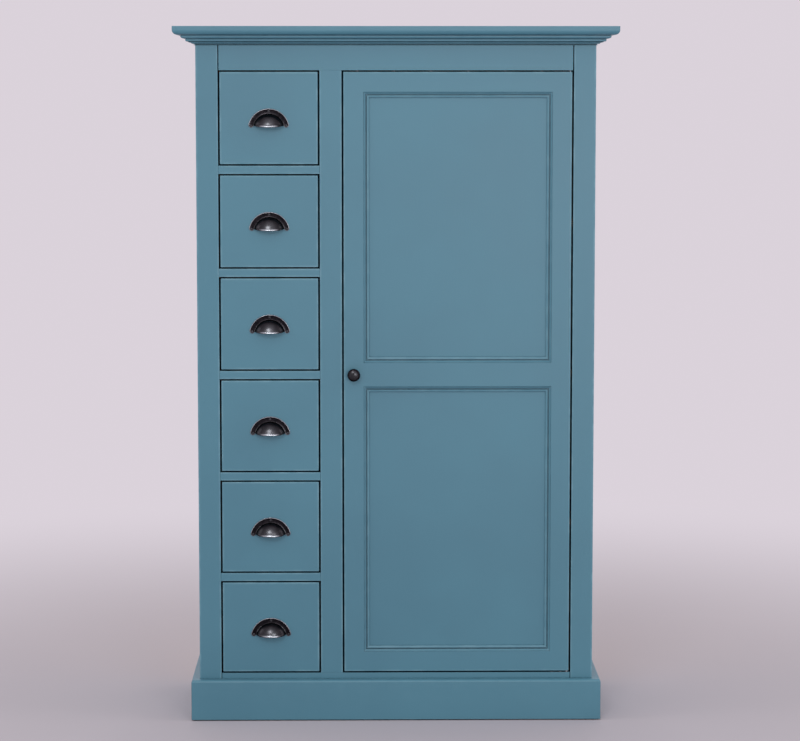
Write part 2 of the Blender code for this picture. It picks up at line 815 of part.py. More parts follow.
def pull_mesh():
    """Half a dome open below and behind, joined to its flange, about the ring's centre."""
    radius = PULL_OUTER_RADIUS - PULL_FLANGE_WIDTH + PULL_WALL / 2
    shape = bmesh.new()
    bmesh.ops.create_uvsphere(shape, u_segments=DOME_STEPS, v_segments=DOME_STEPS // 2, radius=1)
    bmesh.ops.scale(shape, vec=(radius, PULL_DEPTH, radius), verts=shape.verts)
    lip_slope = Vector((0, PULL_LIP_BACK - PULL_LIP_FRONT, -PULL_DEPTH)).normalized()
    for spot, normal in (((0, -SEAT, 0), (0, 1, 0)), ((0, 0, PULL_LIP_BACK), lip_slope)):
        geometry = shape.verts[:] + shape.edges[:] + shape.faces[:]
        bmesh.ops.bisect_plane(
            shape, geom=geometry, plane_co=spot, plane_no=normal, clear_outer=True
        )
    mesh = bpy.data.meshes.new("pull_dome")
    shape.to_mesh(mesh)
    shape.free()
    dome = add_object("pull_dome", mesh, (0, 0, 0), "bronze")
    wall = dome.modifiers.new("wall", "SOLIDIFY")
    wall.thickness = PULL_WALL
    wall.offset = -1
    use_cutter(dome, pull_flange(), "UNION")
    mesh = baked_mesh(dome, "cup_pull")
    mesh.shade_smooth()
    mesh.set_sharp_from_angle(angle=SHARP_ANGLE)
    return mesh


def make_drawer(number, pull):
    low = opening_low(number)
    front_low = low + FRONT_GAP
    front_high = low + DRAWER_OPENING_HEIGHT - FRONT_GAP
    centre_x = (DRAWER_LEFT + DRAWER_RIGHT) / 2
    slide = add_mount(f"drawer_{number}_slide", (centre_x, FACE, (front_low + front_high) / 2))
    front = board(
        f"drawer_front_{number}",
        (DRAWER_LEFT + FRONT_GAP, FACE, front_low),
        (DRAWER_RIGHT - FRONT_GAP, FACE + DRAWER_FRONT_THICKNESS, front_high),
        "paint",
        slide,
    )
    soften(front, FRONT_EDGE_RADIUS)
    box_left = DRAWER_LEFT + DRAWER_SIDE_CLEARANCE
    box_right = DRAWER_RIGHT - DRAWER_SIDE_CLEARANCE
    box_front = FACE + DRAWER_FRONT_THICKNESS + SEAT
    box_back = PANEL_AT - DRAWER_BACK_CLEARANCE
    box_low = low + SEAT
    box_high = low + DRAWER_OPENING_HEIGHT - DRAWER_TOP_CLEARANCE
    box = board(
        f"drawer_box_{number}",
        (box_left, box_front, box_low),
        (box_right, box_back, box_high),
        "pine",
        slide,
    )
    inner_left = box_left + DRAWER_SIDE_THICKNESS
    inner_right = box_right - DRAWER_SIDE_THICKNESS
    bottom_low = box_low + DRAWER_BOTTOM_RAISE
    cut_box(
        box,
        "inside",
        (inner_left, box_front - CUT_OVERRUN, bottom_low + DRAWER_BOTTOM_THICKNESS),
        (inner_right, box_back - DRAWER_BACK_THICKNESS, box_high + CUT_OVERRUN),
    )
    cut_box(
        box,
        "underside",
        (inner_left, box_front - CUT_OVERRUN, box_low - CUT_OVERRUN),
        (inner_right, box_back - DRAWER_BACK_THICKNESS, bottom_low),
    )
    pull_middle = (PULL_OUTER_RADIUS + PULL_LIP_FRONT) / 2
    place = (centre_x, FACE, (front_low + front_high) / 2 - pull_middle)
    add_object(f"drawer_pull_{number}", pull, place, "bronze", slide)


def make_cabinet():
    make_sides()
    make_partition()
    make_lining()
    make_bottom()
    make_back()
    frame = make_face_frame()
    make_dividers()
    make_shelves()
    make_door_stop()
    make_plinth()
    make_cornice()
    make_top()
    pivot = add_mount("door_pivot", (PIVOT_X, PIVOT_Y, ZONE_LOW))
    door = make_door(pivot)
    make_hinges(frame, door, pivot)
    make_knob(pivot)
    pull = pull_mesh()
    for number in range(1, DRAWER_COUNT + 1):
        make_drawer(number, pull)


make_cabinet()
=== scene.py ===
# Looks of the tall painted pine cabinet: six inset drawers beside one framed door.
# Metres, +Z up, the front faces -Y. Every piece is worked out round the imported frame.
import math

import bmesh
import bpy
import numpy as np
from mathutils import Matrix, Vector


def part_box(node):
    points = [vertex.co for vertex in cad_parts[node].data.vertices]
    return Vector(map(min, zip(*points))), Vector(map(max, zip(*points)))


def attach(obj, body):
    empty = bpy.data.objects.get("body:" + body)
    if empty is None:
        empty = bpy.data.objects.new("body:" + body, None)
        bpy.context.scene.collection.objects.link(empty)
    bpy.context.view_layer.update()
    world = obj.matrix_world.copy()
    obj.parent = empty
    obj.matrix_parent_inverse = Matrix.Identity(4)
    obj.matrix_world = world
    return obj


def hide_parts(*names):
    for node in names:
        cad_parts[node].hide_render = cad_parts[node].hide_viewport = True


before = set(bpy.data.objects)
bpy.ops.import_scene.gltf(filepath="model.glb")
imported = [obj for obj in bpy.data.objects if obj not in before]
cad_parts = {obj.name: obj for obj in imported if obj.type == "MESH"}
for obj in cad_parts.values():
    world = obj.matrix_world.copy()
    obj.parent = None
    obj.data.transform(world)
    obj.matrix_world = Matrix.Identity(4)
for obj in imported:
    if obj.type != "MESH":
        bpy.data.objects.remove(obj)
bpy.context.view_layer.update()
scene = bpy.context.scene
chance = np.random.default_rng(7)  # one stream of draws, taken in the order of the pieces
x, y, z = 0, 1, 2

# Camera, lamps, world and floor
camera = dict(
    place=(-0.0765, -6.6408, 1.5284),
    lookDown=5.910,  # degrees
    lookRight=0.763,
    lens=120.83,  # mm
    sensor=36.0,
)
studio = dict(
    lamps=(  # name, place, size and power
        ("softbox_1", (-0.9, -4.9, 3.2), 1.3, 48.0),
        ("softbox_2", (1.2, -5.0, 1.2), 1.3, 39.0),
        ("side_lamp_1", (-4.8, -0.9, 2.8), 2.4, 34.0),
        ("side_lamp_2", (4.8, -0.9, 2.8), 2.4, 34.0),
        ("ceiling_panel", (0.0, -3.2, 4.1), 3.0, 8.0),
        ("back_lamp", (0.0, 4.2, 3.6), 2.5, 45.0),
    ),
    aim=(0.0, 0.0, 0.85),
    ambient=0.57,
    backdrop=(0.705, 0.645, 0.705, 1.0),
    floor=(0.560, 0.505, 0.555, 1.0),
    floorPatch=(0.5516, 0.497425, 0.546675, 1.0),  # the floor's darker patches
    floorHalf=9.0,
    fadeFrom=0.9,  # distance from the middle at which the floor starts to turn into the backdrop
    fadeTo=3.4,
)


def addObject(name, data):
    made = bpy.data.objects.new(name, data)
    scene.collection.objects.link(made)
    return made


def addCamera():
    lens = bpy.data.cameras.new("camera")
    lens.lens = camera["lens"]
    lens.sensor_width = camera["sensor"]
    eye = addObject("camera", lens)
    eye.location = camera["place"]
    eye.rotation_euler = (math.radians(90 - camera["lookDown"]), 0, math.radians(-camera["lookRight"]))
    scene.camera = eye


def addLamp(name, place, size, power):
    lamp = bpy.data.lights.new(name, "AREA")
    lamp.shape = "SQUARE"
    lamp.size = size
    lamp.energy = power
    box = addObject(name, lamp)
    box.location = place
    box.rotation_euler = (Vector(studio["aim"]) - Vector(place)).to_track_quat("-Z", "Y").to_euler()
    box.visible_camera = False


# Shader maths: arithmetic on wires adds Math nodes, and node() adds any other kind
class Wire:
    def __init__(self, tree, socket=None):
        self.tree = tree
        self.socket = socket

    def node(self, kind, sockets=None, out=0, **settings):
        made = self.tree.nodes.new("ShaderNode" + kind)
        for name, value in settings.items():
            setattr(made, name, value)
        for name, value in (sockets or {}).items():
            if isinstance(value, Wire):
                self.tree.links.new(value.socket, made.inputs[name])
            else:
                made.inputs[name].default_value = value
        return Wire(self.tree, made.outputs[out] if made.outputs else None)

    def outlet(self, out):  # another output of the same node
        return Wire(self.tree, self.socket.node.outputs[out])

    def maths(self, operation, first, second=0.0):
        return self.node("Math", {0: first, 1: second}, operation=operation)

    def __add__(self, other):
        return self.maths("ADD", self, other)

    def __sub__(self, other):
        return self.maths("SUBTRACT", self, other)

    def __rsub__(self, other):
        return self.maths("SUBTRACT", other, self)

    def __mul__(self, other):
        return self.maths("MULTIPLY", self, other)

    def __truediv__(self, other):
        return self.maths("DIVIDE", self, other)

    def __pow__(self, other):
        return self.maths("POWER", self, other)

    __radd__ = __add__
    __rmul__ = __mul__

    def stretched(self, *scale):  # a vector, scaled along each axis
        return self.node("VectorMath", {0: self, 1: scale}, operation="MULTIPLY")

    def length(self):
        return self.node("VectorMath", {0: self}, 1, operation="LENGTH")

    def parts(self):  # the three numbers of a vector
        split = self.node("SeparateXYZ", {0: self})
        return [split.outlet(axis) for axis in range(3)]

    def noise(self, scale, detail=2.0, roughness=0.5):
        sockets = {"Vector": self, "Scale": scale, "Detail": detail, "Roughness": roughness}
        return self.node("TexNoise", sockets)

    def ramp(self, low, high):  # smooth step from 0 at low to 1 at high
        sockets = {"Value": self, "From Min": low, "From Max": high}
        return self.node("MapRange", sockets, interpolation_type="SMOOTHSTEP")

    def mix(self, first, second):  # colours: the first where this wire is 0, the second at 1
        return self.node("Mix", {0: self, 6: first, 7: second}, 2, data_type="RGBA")


def emptied(owner):  # the node tree of a material or a world, cleared
    owner.use_nodes = True
    owner.node_tree.nodes.clear()
    return Wire(owner.node_tree)


def makeFinish(name, shader):
    finish = bpy.data.materials.new(name)
    tools = emptied(finish)
    tools.node("OutputMaterial", {"Surface": shader(tools)})
    return finish


def rgb(*shades):  # linear colour of three display values from 0 to 255
    return tuple((shade / 255) ** 2.2 for shade in shades) + (1.0,)


def seenDirectly(tools):  # 1 for rays of the camera, also mirrored or through glass, and 0 for light
    path = tools.node("LightPath")
    rays = [path.outlet(f"Is {kind} Ray") for kind in ("Camera", "Glossy", "Transmission")]
    return tools.maths("MINIMUM", rays[0] + rays[1] + rays[2], 1.0)


def floorShader(tools):  # matt near the cabinet, and the backdrop's own colour further out
    place = tools.node("TexCoord", out=3)
    away = place.length().ramp(studio["fadeFrom"], studio["fadeTo"])
    tone = place.noise(5.0, 3.0).mix(studio["floorPatch"], studio["floor"])
    matt = tools.node("BsdfDiffuse", {"Color": tone})
    glow = tools.node("Emission", {"Color": studio["backdrop"], "Strength": 1.0})
    return tools.node("MixShader", {0: away * seenDirectly(tools), 1: matt, 2: glow})


def buildStage():
    half = studio["floorHalf"]
    corners = [(-half, -half, 0), (half, -half, 0), (half, half, 0), (-half, half, 0)]
    mesh = bpy.data.meshes.new("floor")
    mesh.from_pydata(corners, [], [(0, 1, 2, 3)])
    mesh.materials.append(makeFinish("floor", floorShader))
    addObject("floor", mesh)
    world = bpy.data.worlds.new("studio")
    tools = emptied(world)
    fill = tools.node("Background", {"Color": (1, 1, 1, 1), "Strength": studio["ambient"]})
    shown = tools.node("Background", {"Color": studio["backdrop"], "Strength": 1.0})
    both = tools.node("MixShader", {0: seenDirectly(tools), 1: fill, 2: shown})
    tools.node("OutputWorld", {"Surface": both})
    scene.world = world
    scene.view_settings.view_transform = "Standard"
    for lamp in studio["lamps"]:
        addLamp(*lamp)


# Finishes
paintLook = dict(
    colour=rgb(80, 129, 148),
    deep=rgb(77, 124, 143),
    # painted shade: gaps and narrow folds are painted darker, by ambient occlusion: how near, in m, another
    # surface has to be, and the share of the light that gets in where the painted shade is darkest and where
    # there is none
    gap=(0.026, 0.0, 0.50),
    fold=(0.0045, 0.24, 0.63),
    shade=0.96,
    # painted shade: the colour that gaps and folds are painted towards
    dark=rgb(0, 24, 38),
    # paler paint on the rounded edges: partly wear, partly a painted edge highlight
    rubbedAndHighlight=rgb(132, 174, 190),
    roughness=0.43,
    stipple=0.00010,  # height of the roller's stipple, m
    fibre=0.00007,  # height of the grain that shows through, m
)
pineLook = dict(
    early=rgb(226, 190, 140),
    late=rgb(190, 135, 82),
    knot=rgb(112, 66, 36),
    ring=0.0042,  # width of a year's growth, m
    stave=0.105,  # width of the staves that a wide board is glued from, m
    roughness=0.52,
)
bronzeLook = dict(
    dark=rgb(32, 31, 34),
    brown=rgb(44, 41, 44),
    rubbedAndHighlight=rgb(187, 192, 198),
    roughness=0.26,
)
steelLook = dict(bright=rgb(188, 188, 190), dull=rgb(142, 142, 146), roughness=0.28)
plasticLook = dict(dark=rgb(92, 70, 54), pale=rgb(104, 80, 62), roughness=0.5)


def gloss(tools, colour, rough, relief, strength=1.0, metallic=0.0):
    # A Principled shader, with bumps as high as relief says, in m
    bump = tools.node("Bump", {"Strength": strength, "Distance": 1.0, "Height": relief})
    sockets = {"Base Color": colour, "Roughness": rough, "Metallic": metallic, "Normal": bump}
    return tools.node("BsdfPrincipled", sockets)


def paintedShadeOf(tools, nooks):  # painted shade: how dark a place is painted, from 0 to 1, in gaps and folds between surfaces, from ambient occlusion
    light = 1.0
    for reach, low, high in nooks:
        free = tools.node("AmbientOcclusion", {"Distance": reach}, 1, samples=6)
        light = free.ramp(low, high) * light
    return (1.0 - light) * paintLook["shade"]


def paintShader(tools):
    grain = tools.node("Attribute", out=1, attribute_name="grain")
    worn = tools.node("Attribute", out=2, attribute_name="worn")
    place = tools.node("TexCoord", out=3)
    cloud = place.noise(3.2, 3.0)
    fibre = grain.stretched(5.0, 170.0, 170.0).noise(1.0, 3.0, 0.6)
    peel = place.noise(320.0)
    fine = place.noise(1100.0, 1.0)
    patchy = place.noise(38.0, 3.0).ramp(0.35, 0.75)
    coat = cloud.ramp(0.3, 0.7).mix(paintLook["deep"], paintLook["colour"])
    # painted shade: gaps and folds darken the colour, and the roughness rises there
    dark = paintedShadeOf(tools, (paintLook["gap"], paintLook["fold"]))
    # rounded edges are painted paler: partly wear, partly a painted edge highlight
    colour = (worn * (0.20 + patchy * 0.55)).mix(coat, paintLook["rubbedAndHighlight"])
    colour = dark.mix(colour, paintLook["dark"])
    relief = peel * paintLook["stipple"] + fine * (paintLook["stipple"] * 0.5)
    relief = relief + fibre * paintLook["fibre"]
    rough = paintLook["roughness"] + (cloud - 0.5) * 0.10 + (fibre - 0.5) * 0.05 + dark * 0.5
    satin = gloss(tools, colour, rough, relief)
    # painted shade: where the gaps are darkest a dark matt shader is mixed in
    paintedShadeDiffuse = tools.node("BsdfDiffuse", {"Color": paintLook["dark"]})
    return tools.node("MixShader", {0: dark * dark, 1: satin, 2: paintedShadeDiffuse})


def pineShader(tools):
    along, across, thick = tools.node("Attribute", out=1, attribute_name="grain").parts()
    # each stave has its own number, and so its own heart, beside and behind the face
    stave = tools.maths("FLOOR", across / pineLook["stave"])
    own = tools.node("TexWhiteNoise", {"W": stave}, 1, noise_dimensions="1D")
    ownSide, ownDepth, ownEnd = own.parts()
    side = across - (stave + 0.5) * pineLook["stave"] + (ownSide - 0.5) * 0.09
    depth = thick + 0.020 + ownDepth * 0.05
    spot = tools.node("CombineXYZ", {0: along + ownEnd * 7.0, 1: across, 2: thick})
    sway = spot.stretched(1.6, 5.0, 5.0).noise(1.0) - 0.5
    ripple = spot.stretched(9.0, 60.0, 60.0).noise(1.0) - 0.5
    heart = tools.node("CombineXYZ", {0: side + sway * 0.040, 1: depth + sway * 0.022})
    rings = (heart.length() + ripple * 0.0012) / pineLook["ring"]
    # knots: a few cells of a Voronoi pattern, with the rings bent round them
    sockets = {"Vector": spot.stretched(5.0, 9.0, 0.0), "Scale": 1.0}
    cells = tools.node("TexVoronoi", sockets, voronoi_dimensions="2D")
    chosen = cells.outlet(1).parts()[0].ramp(0.66, 0.70)
    near = (1.0 - cells.ramp(0.05, 0.30)) * chosen
    core = (1.0 - cells.ramp(0.045, 0.075)) * chosen
    year = tools.maths("FRACT", rings + near * near * 5.0)
    late = (year ** 2.5) * (1.0 - year.ramp(0.93, 1.0))
    flecks = spot.stretched(22.0, 900.0, 900.0).noise(1.0, 2.0, 0.6).ramp(0.45, 0.75)
    tone = spot.stretched(0.7, 3.0, 3.0).noise(1.0).ramp(0.3, 0.7)
    wood = (late * 0.85).mix(pineLook["early"], pineLook["late"])
    wood = (tone * 0.22).mix(wood, pineLook["late"])
    wood = (flecks * 0.16).mix(wood, pineLook["late"])
    wood = (core * 0.85 + near * near * 0.25).mix(wood, pineLook["knot"])
    rough = pineLook["roughness"] + flecks * 0.10 - late * 0.06
    return gloss(tools, wood, rough, late * -0.00008 + flecks * 0.00003)


def bronzeShader(tools):
    worn = tools.node("Attribute", out=2, attribute_name="worn")
    place = tools.node("TexCoord", out=3)
    cloud = place.noise(90.0, 4.0, 0.6)
    scratch = place.stretched(1.0, 1.0, 4.0).noise(420.0, 3.0, 0.7)
    skin = cloud.ramp(0.35, 0.68).mix(bronzeLook["dark"], bronzeLook["brown"])
    rub = worn * (0.55 + 0.45 * scratch.ramp(0.30, 0.62))
    rough = bronzeLook["roughness"] + (cloud - 0.5) * 0.16 + rub * 0.04
    relief = cloud * 0.00005 + scratch * 0.00002
    return gloss(tools, rub.mix(skin, bronzeLook["rubbedAndHighlight"]), rough, relief, 0.6, 1.0)


def steelShader(tools):
    place = tools.node("TexCoord", out=3)
    cloud = place.noise(140.0, 4.0, 0.6)
    brushed = place.stretched(30.0, 900.0, 900.0).noise(1.0)
    colour = cloud.ramp(0.35, 0.7).mix(steelLook["bright"], steelLook["dull"])
    # painted shade: steel in the gaps is painted darker
    dark = paintedShadeOf(tools, (paintLook["gap"],))
    rough = steelLook["roughness"] + (cloud - 0.5) * 0.2 + dark * 0.5
    return gloss(tools, dark.mix(colour, paintLook["dark"]), rough, brushed * 0.00003, 0.5, 1.0)


def plasticShader(tools):
    cloud = tools.node("TexCoord", out=3).noise(200.0, 3.0)
    colour = cloud.mix(plasticLook["dark"], plasticLook["pale"])
    return gloss(tools, colour, plasticLook["roughness"], cloud * 0.0001, 0.4)


def carcaseShader(tools):  # painted where it shows, and bare wood inside the cabinet
    place = tools.node("TexCoord", out=3)
    across, deep = place.parts()[:2]
    ragged = (place.noise(60.0, 3.0) - 0.5) * bareFrom["ragged"]
    fade = bareFrom["fade"]
    inside = 1.0 - tools.maths("ABSOLUTE", across).ramp(bareFrom["side"] - fade, bareFrom["side"])
    behind = (deep + ragged).ramp(bareFrom["front"], bareFrom["front"] + fade * 1.5)
    within = 1.0 - deep.ramp(bareFrom["back"] - fade, bareFrom["back"])
    bare = inside * behind * within
    return tools.node("MixShader", {0: bare, 1: paintShader(tools), 2: pineShader(tools)})


def valuesOf(look, names):  # several values of a dictionary, named in one line
    return [look[name] for name in names.split()]


# Shapes: each is points, faces and, for every point, its wear with painted edge highlight and its place in
# the wood's grain
shoulderWearAndHighlight = 0.6  # wear and painted highlight where the rounding of an edge starts, as a share of its middle's
wearAndHighlightFrom = 0.0005  # an edge with a smaller rounding shows no wear and no painted highlight
fewPoints = dict(support=0.002, steps=2)  # for outlines with many corners
sideways = np.array((1.0, 0.0, 0.0))  # square to the axis of every turned piece
mergeWithin = 0.0000015


def skinOf(rings, worn=0.0, along=z):
    # A closed body: quads between each ring of points and the next, and each end ring filled
    rings = np.asarray(rings, float)
    rows, columns = rings.shape[:2]
    row = np.arange(rows - 1)[:, None] * columns
    spot = np.arange(columns)
    follow = (spot + 1) % columns
    quads = np.stack([row + spot, row + follow, row + columns + follow, row + columns + spot], -1)
    ends = [list(range(columns)), list(range((rows - 1) * columns, rows * columns))]
    points = rings.reshape(-1, 3)
    wear = np.broadcast_to(worn, (rows, columns)).reshape(-1)
    # the grain runs along the piece, then across its wider side, then through it
    extent = np.ptp(points, axis=0)
    across, thick = sorted((axis for axis in range(3) if axis != along), key=lambda a: -extent[a])
    order = [along, across, thick]
    grain = points[:, order] - points.mean(0)[order] + chance.uniform((0, 0, -0.01), (20, 3, 0.01))
    return dict(points=points, faces=quads.reshape(-1, 4).tolist() + ends, worn=wear, grain=grain)


def unit(vectors):  # each vector over its own length
    return vectors / np.maximum(np.linalg.norm(vectors, axis=-1, keepdims=True), 1e-9)


def around(angle):  # unit vectors at angles in radians
    return np.stack([np.cos(angle), np.sin(angle)], -1)


def arc(centre, radii, start, end, steps):
    # Points of an elliptic arc: centre + (a cos t, b sin t), t in degrees
    return around(np.radians(np.linspace(start, end, steps + 1))) * radii + centre


def outwardNormals(outline):
    # The way out at each point of a closed outline: its neighbours' difference, turned a quarter
    step = np.roll(outline, -1, 0) - np.roll(outline, 1, 0)
    return unit(np.stack([step[:, 1], -step[:, 0]], -1))


def easedOutline(corners, soft, support=0.004, steps=3):
    # Anticlockwise corners, each replaced by an arc of radius soft that touches both its sides,
    # and a point a little way along each side, where the wear and painted highlight of the edge have faded
    # out
    corners = np.asarray(corners, float)
    soft = np.broadcast_to(soft, len(corners)).astype(float)[:, None]
    toLast = np.roll(corners, 1, 0) - corners
    toNext = np.roll(corners, -1, 0) - corners
    lastSide = np.linalg.norm(toLast, axis=1)[:, None]
    nextSide = np.linalg.norm(toNext, axis=1)[:, None]
    toLast = toLast / lastSide
    toNext = toNext / nextSide
    half = np.arccos(np.clip((toLast * toNext).sum(1), -1, 1))[:, None] / 2
    reach = soft / np.tan(half)
    centre = corners + unit(toLast + toNext) * (soft / np.sin(half))
    arms = corners + toLast * reach - centre, corners + toNext * reach - centre
    first, last = [np.arctan2(arm[:, 1], arm[:, 0])[:, None] for arm in arms]
    swing = (last - first + math.pi) % (2 * math.pi) - math.pi
    angle = first + swing * np.linspace(0, 1, steps + 1)
    bend = centre[:, None] + soft[:, :, None] * around(angle)
    before = corners + toLast * (reach + np.minimum(support, lastSide / 4))
    after = corners + toNext * (reach + np.minimum(support, nextSide / 4))
    points = np.concatenate([before[:, None], bend, after[:, None]], 1).reshape(-1, 2)
    wear = np.ones(steps + 3)
    wear[[0, -1]] = 0.0
    wear[[1, -2]] = shoulderWearAndHighlight
    return points, (wear * (soft > wearAndHighlightFrom)).reshape(-1)


def easedStations(low, high, soft, support=0.004, steps=3):
    # Places along a length with, at each, how far the ring draws in and how much wear and painted highlight
    # it has:
    # at an end the ring lies soft further in, and comes out by a quarter circle
    turn = np.linspace(0, math.pi / 2, steps + 1)
    place = np.append(soft * (1 - np.cos(turn)), soft + min(support, (high - low) / 4))
    inset = np.append(soft * (1 - np.sin(turn)), 0.0)
    worn = np.append(np.ones(steps + 1), 0.0)
    worn[[0, -2]] = shoulderWearAndHighlight
    places = np.concatenate([low + place, (high - place)[::-1]])
    return places, np.concatenate([inset, inset[::-1]]), np.concatenate([worn, worn[::-1]])


def carried(outline, along, low, high, soft=0.0005, grainAlong=None, endWearAndHighlight=1.0):
    # An outline of (a, b) carried square along an axis, with both its ends eased
    points, wear = outline
    places, insets, ends = easedStations(low, high, soft)
    rings = np.empty((len(places), len(points), 3))
    cross = [axis for axis in range(3) if axis != along]
    rings[:, :, cross] = points[None] - outwardNormals(points)[None] * insets[:, None, None]
    rings[:, :, along] = places[:, None]
    worn = np.maximum(wear[None], ends[:, None] * endWearAndHighlight)
    return skinOf(rings, worn, along if grainAlong is None else grainAlong)


def rectangle(low, high):  # its four corners, anticlockwise from the lowest
    return [(low[0], low[1]), (high[0], low[1]), (high[0], high[1]), (low[0], high[1])]


def board(low, high, along, soft=0.0008, endSoft=0.0005, grow=0.0):
    # A rounded rectangle carried along the board's length. Ends that grow or shrink belong to a
    # painted joint, without wear or painted highlight on the edge
    low = np.array(low, float)
    high = np.array(high, float)
    cross = [axis for axis in range(3) if axis != along]
    outline = easedOutline(rectangle(low[cross], high[cross]), soft)
    wear = 0.0 if grow else 1.0
    return carried(outline, along, low[along] - grow, high[along] + grow, endSoft, None, wear)


def boxOf(node):  # a solid's low and high corner, as arrays
    return [np.array(corner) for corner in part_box(node)]


def middleOf(node):
    low, high = boxOf(node)
    return (low + high) / 2


def nodeBoard(node, along, soft=0.0008, endSoft=0.0005, grow=0.0):
    return board(*boxOf(node), along, soft, endSoft, grow)


def mitredLength(outline, worn, first, last, up, soft, seat=0.0002, endWearAndHighlight=1.0):
    # An outline of (out, up) carried between two corners, each of them a place and a way out. A
    # point's place along the length moves with its distance out, which cuts the mitre, and both
    # ends are eased
    (start, startOut), (end, endOut) = np.array((first, last), float)
    way = unit(end - start)
    places, insets, ends = easedStations(0, 1, soft)
    half = len(places) // 2
    gone = np.concatenate([seat + places[:half], -(seat + (1 - places[half:]))])
    corner = np.repeat([start, end], half, axis=0) + way * gone[:, None]
    out = np.repeat([startOut, endOut], half, axis=0)[:, None]
    flat = outline[None] - outwardNormals(outline)[None] * insets[:, None, None]
    rings = corner[:, None] + flat[:, :, :1] * out + flat[:, :, 1:] * np.array(up, float)
    return skinOf(rings, np.maximum(worn[None], ends[:, None] * endWearAndHighlight), int(np.argmax(np.abs(way))))


def turned(profile, centre, axis, worn=0.0, steps=40):
    # A profile of (radius, height) turned round an axis that starts at centre
    axis = np.array(axis, float)
    angle = np.linspace(0, 2 * math.pi, steps, endpoint=False)[:, None]
    spokes = np.cos(angle) * sideways + np.sin(angle) * np.cross(axis, sideways)
    profile = np.asarray(profile, float)
    rings = profile[:, :1, None] * spokes[None] + profile[:, 1:, None] * axis + np.array(centre, float)
    return skinOf(rings, np.reshape(worn, (-1, 1)), y)


def peg(radius, height, ease):  # the profile of a round peg with an eased top
    return [(0, 0), (radius, 0), (radius, height - ease), (radius - ease, height), (0, height)]


headLook = dict(
    cutDepth=0.45,  # share of the head's height
    cutHalf=0.13,  # half the cut's width, as a share of the head's radius
    # shares of the radius, and of the height, at four rows from the bottom of the cut up
    radii=(0.98, 1.0, 0.86, 0.6),
    edgeUp=0.12,  # the second row's, over the bottom of the cut
    roundUp=0.92,  # the third row's; the last one is at the top
    wear=(0.2, 0.5, 1.0, 0.8),
    points=(16, 9, 6),  # round the disc, and round a part of a head with 1 or with 2 cuts
)


def slottedHead(centre, axis, radius, height, cuts, turn, wear=1.0):
    # A low round head: a disc below, and on it the parts of a disc that 1 or 2 cuts leave.
    # Each part is a sector with its straight sides moved in, carried up and drawn in at the top
    axis = np.array(axis, float)
    other = np.cross(axis, sideways)
    radii, wears, points = valuesOf(headLook, "radii wear points")
    floor = height * (1 - headLook["cutDepth"])
    disc = [(0, 0), (radius, 0), (radius * radii[0], floor), (0, floor)]
    shapes = [turned(disc, centre, axis, wears[0], points[0])]
    gap = radius * headLook["cutHalf"]
    lean = math.asin(gap / radius)
    wide = math.pi / cuts
    share = np.linspace(0, 1, points[cuts])
    rises = (floor, floor + height * headLook["edgeUp"], height * headLook["roundUp"], height)
    for sector in range(2 * cuts):
        first = turn + sector * wide
        rim = around(first + lean + share * (wide - 2 * lean))
        tip = around(first + wide / 2) * gap / math.sin(wide / 2)
        rings = []
        for scale, rise in zip(radii, rises):
            flat = np.concatenate([tip[None], rim * radius * scale])
            rings.append(centre + flat[:, :1] * sideways + flat[:, 1:] * other + axis * rise)
        shapes.append(skinOf(rings, np.array(wears)[:, None] * wear, y))
    return shapes


def makePiece(name, shapes, finish, node=None, body="cabinet", behind=None, angle=40):
    # Puts shapes in one mesh, which rides on a body and takes a node's place. Its faces that look
    # to the back take the finish behind, where one is given
    shapes = shapes if isinstance(shapes, list) else [shapes]
    points, worn, grain = [
        np.concatenate([shape[part] for shape in shapes]) for part in ("points", "worn", "grain")
    ]
    starts = np.cumsum([0] + [len(shape["points"]) for shape in shapes]).tolist()
    faces = []
    for shape, start in zip(shapes, starts):
        faces += [[corner + start for corner in face] for face in shape["faces"]]
    mesh = bpy.data.meshes.new(name)
    mesh.from_pydata(points, [], faces)
    wearAndHighlightLayer = mesh.attributes.new("worn", "FLOAT", "POINT")
    wearAndHighlightLayer.data.foreach_set("value", worn.astype(np.float32))
    grainLayer = mesh.attributes.new("grain", "FLOAT_VECTOR", "POINT")
    grainLayer.data.foreach_set("vector", grain.astype(np.float32).ravel())
    work = bmesh.new()
    work.from_mesh(mesh)
    bmesh.ops.remove_doubles(work, verts=work.verts, dist=mergeWithin)
    bmesh.ops.dissolve_degenerate(work, edges=work.edges, dist=mergeWithin)
    bmesh.ops.recalc_face_normals(work, faces=work.faces)
    work.to_mesh(mesh)
    work.free()
    mesh.materials.append(looks[finish])
    if behind:
        mesh.materials.append(looks[behind])
        normals = np.empty((len(mesh.polygons), 3), np.float32)
        mesh.polygons.foreach_get("normal", normals.ravel())
        mesh.polygons.foreach_set("material_index", (normals[:, y] > 0.9).astype(np.int32))
    mesh.shade_smooth()
    mesh.set_sharp_from_angle(angle=math.radians(angle))
    piece = addObject(name, mesh)
    piece.modifiers.new("flat_faces_stay_flat", "WEIGHTED_NORMAL").keep_sharp = True
    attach(piece, body)
    if node:
        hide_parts(node)


# Places that many pieces share, from the frame
bodyLow, bodyHigh = boxOf("side_left")[0], boxOf("side_right")[1]
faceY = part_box("stile_left")[0].y
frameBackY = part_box("stile_left")[1].y
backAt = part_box("back_panel")[0].y
drawerCount = sum(name.startswith("drawer_front_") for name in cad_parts)
bareFrom = dict(  # where the paint of the carcase ends
    side=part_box("side_right")[0].x + 0.0012,
    front=frameBackY + 0.004,
    back=backAt + 0.002,
    ragged=0.004,
    fade=0.0004,
)

addCamera()
buildStage()
looks = {
    "paint": makeFinish("satin_paint", paintShader),
    "pine": makeFinish("clear_pine", pineShader),
    "carcase": makeFinish("paint_over_pine", carcaseShader),
    "bronze": makeFinish("dark_bronze", bronzeShader),
    "steel": makeFinish("bright_steel", steelShader),
    "plastic": makeFinish("brown_plastic", plasticShader),
}
print("stage and finishes:", len(looks), "finishes")

